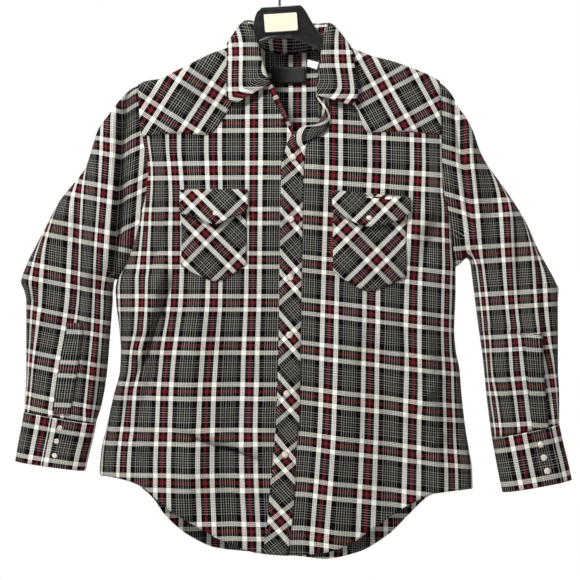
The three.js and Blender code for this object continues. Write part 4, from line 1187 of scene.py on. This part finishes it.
def arm_row(x, half=9.6):
    """Section of an arm."""
    return x, arm_top(x) - ARM_INSET, arm_top(x) - ARM_INSET - 2 * half, half, 1


def arm_end(x, reach, half):
    """Section of an arm's rounded end, 9 mm under the shoulder."""
    return x, arm_top(x) - 9 + reach, arm_top(x) - 9 - reach, half, 1


# Columns: x, top and bottom z, half depth, and how square the section is, from 1 for round down to 0.
HANGER = [
    arm_end(-196, 3, 2.5), arm_end(-193, 6, 5), arm_row(-184, 7.5), arm_row(-150, 8.6), arm_row(-110),
    arm_row(-80), (-56, -128, -147, 7, 1), (-46, -122, -142, 6, 0.8), (-41, -98, -134, 5.5, 0.55),
    (-37, -80, -125, 5.5, 0.55), (-33, -71, -122, 5.5, 0.55), (-26, -66.5, -119, 5.5, 0.55),
    (-7, -65.5, -114, 5.5, 0.55), (16, -64, -114, 5.5, 0.55), (31, -63, -118, 5.5, 0.55),
    (36, -67, -120, 5.5, 0.55), (50, -90, -126, 5.5, 0.55), (62, -108, -133, 5.5, 0.55),
    (70, -122, -142, 7, 0.7), (84, -126, -147, 8, 0.9), arm_row(110), arm_row(140), arm_row(180, 8.6),
    arm_row(212, 7.5), arm_end(221, 6, 5), arm_end(224, 3, 2.5),
]
# Polystyrene out of a polished mould: near black with sharp highlights, dulled by fine handling scuffs.
black_plastic, plastic_tree, plastic_shader = new_material(
    "moulded_black_polystyrene", 0.28, Base_Color=linear("#0f0f10"), IOR=1.59, Coat_Weight=0.5,
    Coat_Roughness=0.15,
)
place = add(plastic_tree, "TexCoord")
scuff = add(plastic_tree, "TexNoise", {0: place.outputs["Object"]}, {"Scale": 90, "Detail": 5})
dull = add(plastic_tree, "MapRange", {0: scuff}, {1: 0.4, 2: 0.7, 3: 0.24, 4: 0.36})
plastic_tree.links.new(dull.outputs[0], plastic_shader.inputs["Roughness"])


def closed_rings(name, rows, material, nodes=()):
    """Solid through rings of equal count, with flat ends."""
    around = len(rows[0])
    faces = tube_faces(0, len(rows), around)
    faces.append(tuple(reversed(range(around))))
    faces.append(tuple((len(rows) - 1) * around + j for j in range(around)))
    return make_piece(name, rows, faces, [material], nodes)


# The bridge has a raised rim round a dished face. RIM is the rim's share of the half height.
DISH = 0.5
RIM = 0.24
AROUND = 64
stations = [row[0] for row in HANGER]
lines = tracks([row[1:] for row in HANGER], stations)
rows = []
for x in np.unique(np.concatenate([np.linspace(stations[0], stations[-1], 211), stations])):
    top, bottom, half, corner = [float(line(float(x))) for line in lines]
    row = []
    for j in range(AROUND):
        a = (j + 0.5) / AROUND * 2 * math.pi
        c, s = math.cos(a), math.sin(a)
        rise = math.copysign(abs(s) ** corner, s)
        dish = 1 - DISH * float(ease((1 - abs(rise)) / RIM)) * float(ease((0.75 - corner) / 0.15))
        depth = half * dish * math.copysign(abs(c) ** corner, c)
        row.append((x, depth, (top + bottom) / 2 + (top - bottom) / 2 * rise))
    rows.append(row)
closed_rings("hanger_moulding", rows, black_plastic, ["hanger_body"])


# Hook. It is a steel wire with a bright plating, set into the bridge and bent into an open hook.
HOOK_WIRE = 1.9
HOOK_INNER = 18
bend = HOOK_INNER + HOOK_WIRE
hook_path = [(0, -64.2), (0, -56), (1.5, -48), (7, -40)]
for degrees in np.arange(-45, 201, 17.5):
    a = math.radians(degrees)
    hook_path.append((bend * math.cos(a), -HOOK_INNER + bend * math.sin(a)))
hook_line = tracks(hook_path)
hook_end = len(hook_path) - 1
rows = []
for t in np.linspace(0, hook_end, 150):
    here, ahead, behind = [np.array([float(line(at)) for line in hook_line])
                           for at in (t, min(t + 0.05, hook_end), max(t - 0.05, 0))]
    way = (ahead - behind) / np.linalg.norm(ahead - behind)
    row = []
    for a in np.arange(16) / 16 * 2 * math.pi:
        off = HOOK_WIRE * math.sin(a)
        row.append((here[0] - way[1] * off, HOOK_WIRE * math.cos(a), here[1] + way[0] * off))
    rows.append(row)
# Plated wire: bright grey, with soft streaks from drawing and handling.
steel = two_tone("bright_plated_steel_wire", 0.25, "#6f7072", "#a9aaac", {"Scale": 300}, Metallic=1.0)
closed_rings("hook_steel", rows, steel, ["hanger_hook"])


# Card. A blank cream card with rounded corners is held in a raised frame that is part of the black moulding.
CARD = (50, 27)
CARD_CORNER = 2.6
CARD_TILT = -0.065
CARD_MIDDLE = np.array([2, 0, -90])
FRAME_WIDTH = 1.6


def rounded_card(grow, shrink_far, depths):
    """Rings of a rounded rectangle in the card's plane, one for each depth, the last a little smaller."""
    rings = []
    for depth in depths:
        less = shrink_far if depth == depths[-1] else 0
        half_x, half_z = [size / 2 + grow - less - CARD_CORNER for size in CARD]
        ring = []
        for side_x, side_z, start in ((1, 1, 0), (-1, 1, 90), (-1, -1, 180), (1, -1, 270)):
            for step in range(7):
                a = math.radians(start + step * 15)
                x = side_x * half_x + CARD_CORNER * math.cos(a)
                z = side_z * half_z + CARD_CORNER * math.sin(a)
                ring.append(tuple(CARD_MIDDLE + [x * math.cos(CARD_TILT) + z * math.sin(CARD_TILT), depth,
                                                 z * math.cos(CARD_TILT) - x * math.sin(CARD_TILT)]))
        rings.append(ring)
    return rings


rings = rounded_card(FRAME_WIDTH, 1.0, (-2.0, -5.6, -6.4))
closed_rings("hanger_card_frame", rings, black_plastic)
# Coated card: smooth cream with a faint cloud of fibres.
card_board = two_tone("coated_cream_card", 0.5, "#dfd6bd", "#eae3d0", {"Scale": 400, "Detail": 4})
card = closed_rings("hanger_card", rounded_card(0, 0.3, (-6.0, -6.8, -7.1)), card_board,
                    ["hanger_plate"])
card.data.polygons.foreach_set("use_smooth", [False] * len(card.data.polygons))


# Stage. A pale matt floor lies far below, and soft studio light comes from the front and above, as in a
# catalogue picture.
FLOOR = -1.85
floor_mesh = bpy.data.meshes.new("floor")
floor_mesh.from_pydata([(-5, -5, FLOOR), (5, -5, FLOOR), (5, 5, FLOOR), (-5, 5, FLOOR)], [], [(0, 1, 2, 3)])
floor_paint = new_material("pale_matt_floor", 0.9, Base_Color=linear("#fbfaf8"))[0]
floor_mesh.materials.append(floor_paint)
floor = bpy.data.objects.new("floor", floor_mesh)
bpy.context.collection.objects.link(floor)


def soft_light(name, place, aim, size, power):
    """Square lamp at a place in metres, turned to what it lights."""
    data = bpy.data.lights.new(name, "AREA")
    data.shape = "RECTANGLE"
    data.size = data.size_y = size
    data.energy = power
    light = bpy.data.objects.new(name, data)
    light.location = place
    light.rotation_euler = (Vector(aim) - Vector(place)).to_track_quat("-Z", "Y").to_euler()
    bpy.context.collection.objects.link(light)


soft_light("key", (-1.2, -1.9, 1.5), (0, 0, -0.45), 0.5, 100)
soft_light("top", (0.5, -0.6, 1.9), (0, 0, -0.4), 1.4, 16)
# The room looks white all round. As a light it is dimmer behind the camera, so the folds keep their shade.
DIM, BRIGHT = 0.17, 1.0
world = bpy.data.worlds.new("studio")
world.use_nodes = True
background = world.node_tree.nodes["Background"]
background.inputs["Color"].default_value = linear("#ffffff")
direction = add(world.node_tree, "TexCoord")
parts = add(world.node_tree, "SeparateXYZ", {0: direction.outputs["Generated"]})
shade = add(world.node_tree, "MapRange", {0: parts.outputs[1]}, {1: -0.3, 2: 0.7, 3: DIM, 4: BRIGHT})
seen = add(world.node_tree, "LightPath")
strength = add(world.node_tree, "Mix", {0: seen.outputs["Is Camera Ray"], 2: shade}, {3: BRIGHT})
world.node_tree.links.new(strength.outputs[0], background.inputs["Strength"])
bpy.context.scene.world = world
bpy.context.scene.view_settings.view_transform = "Standard"
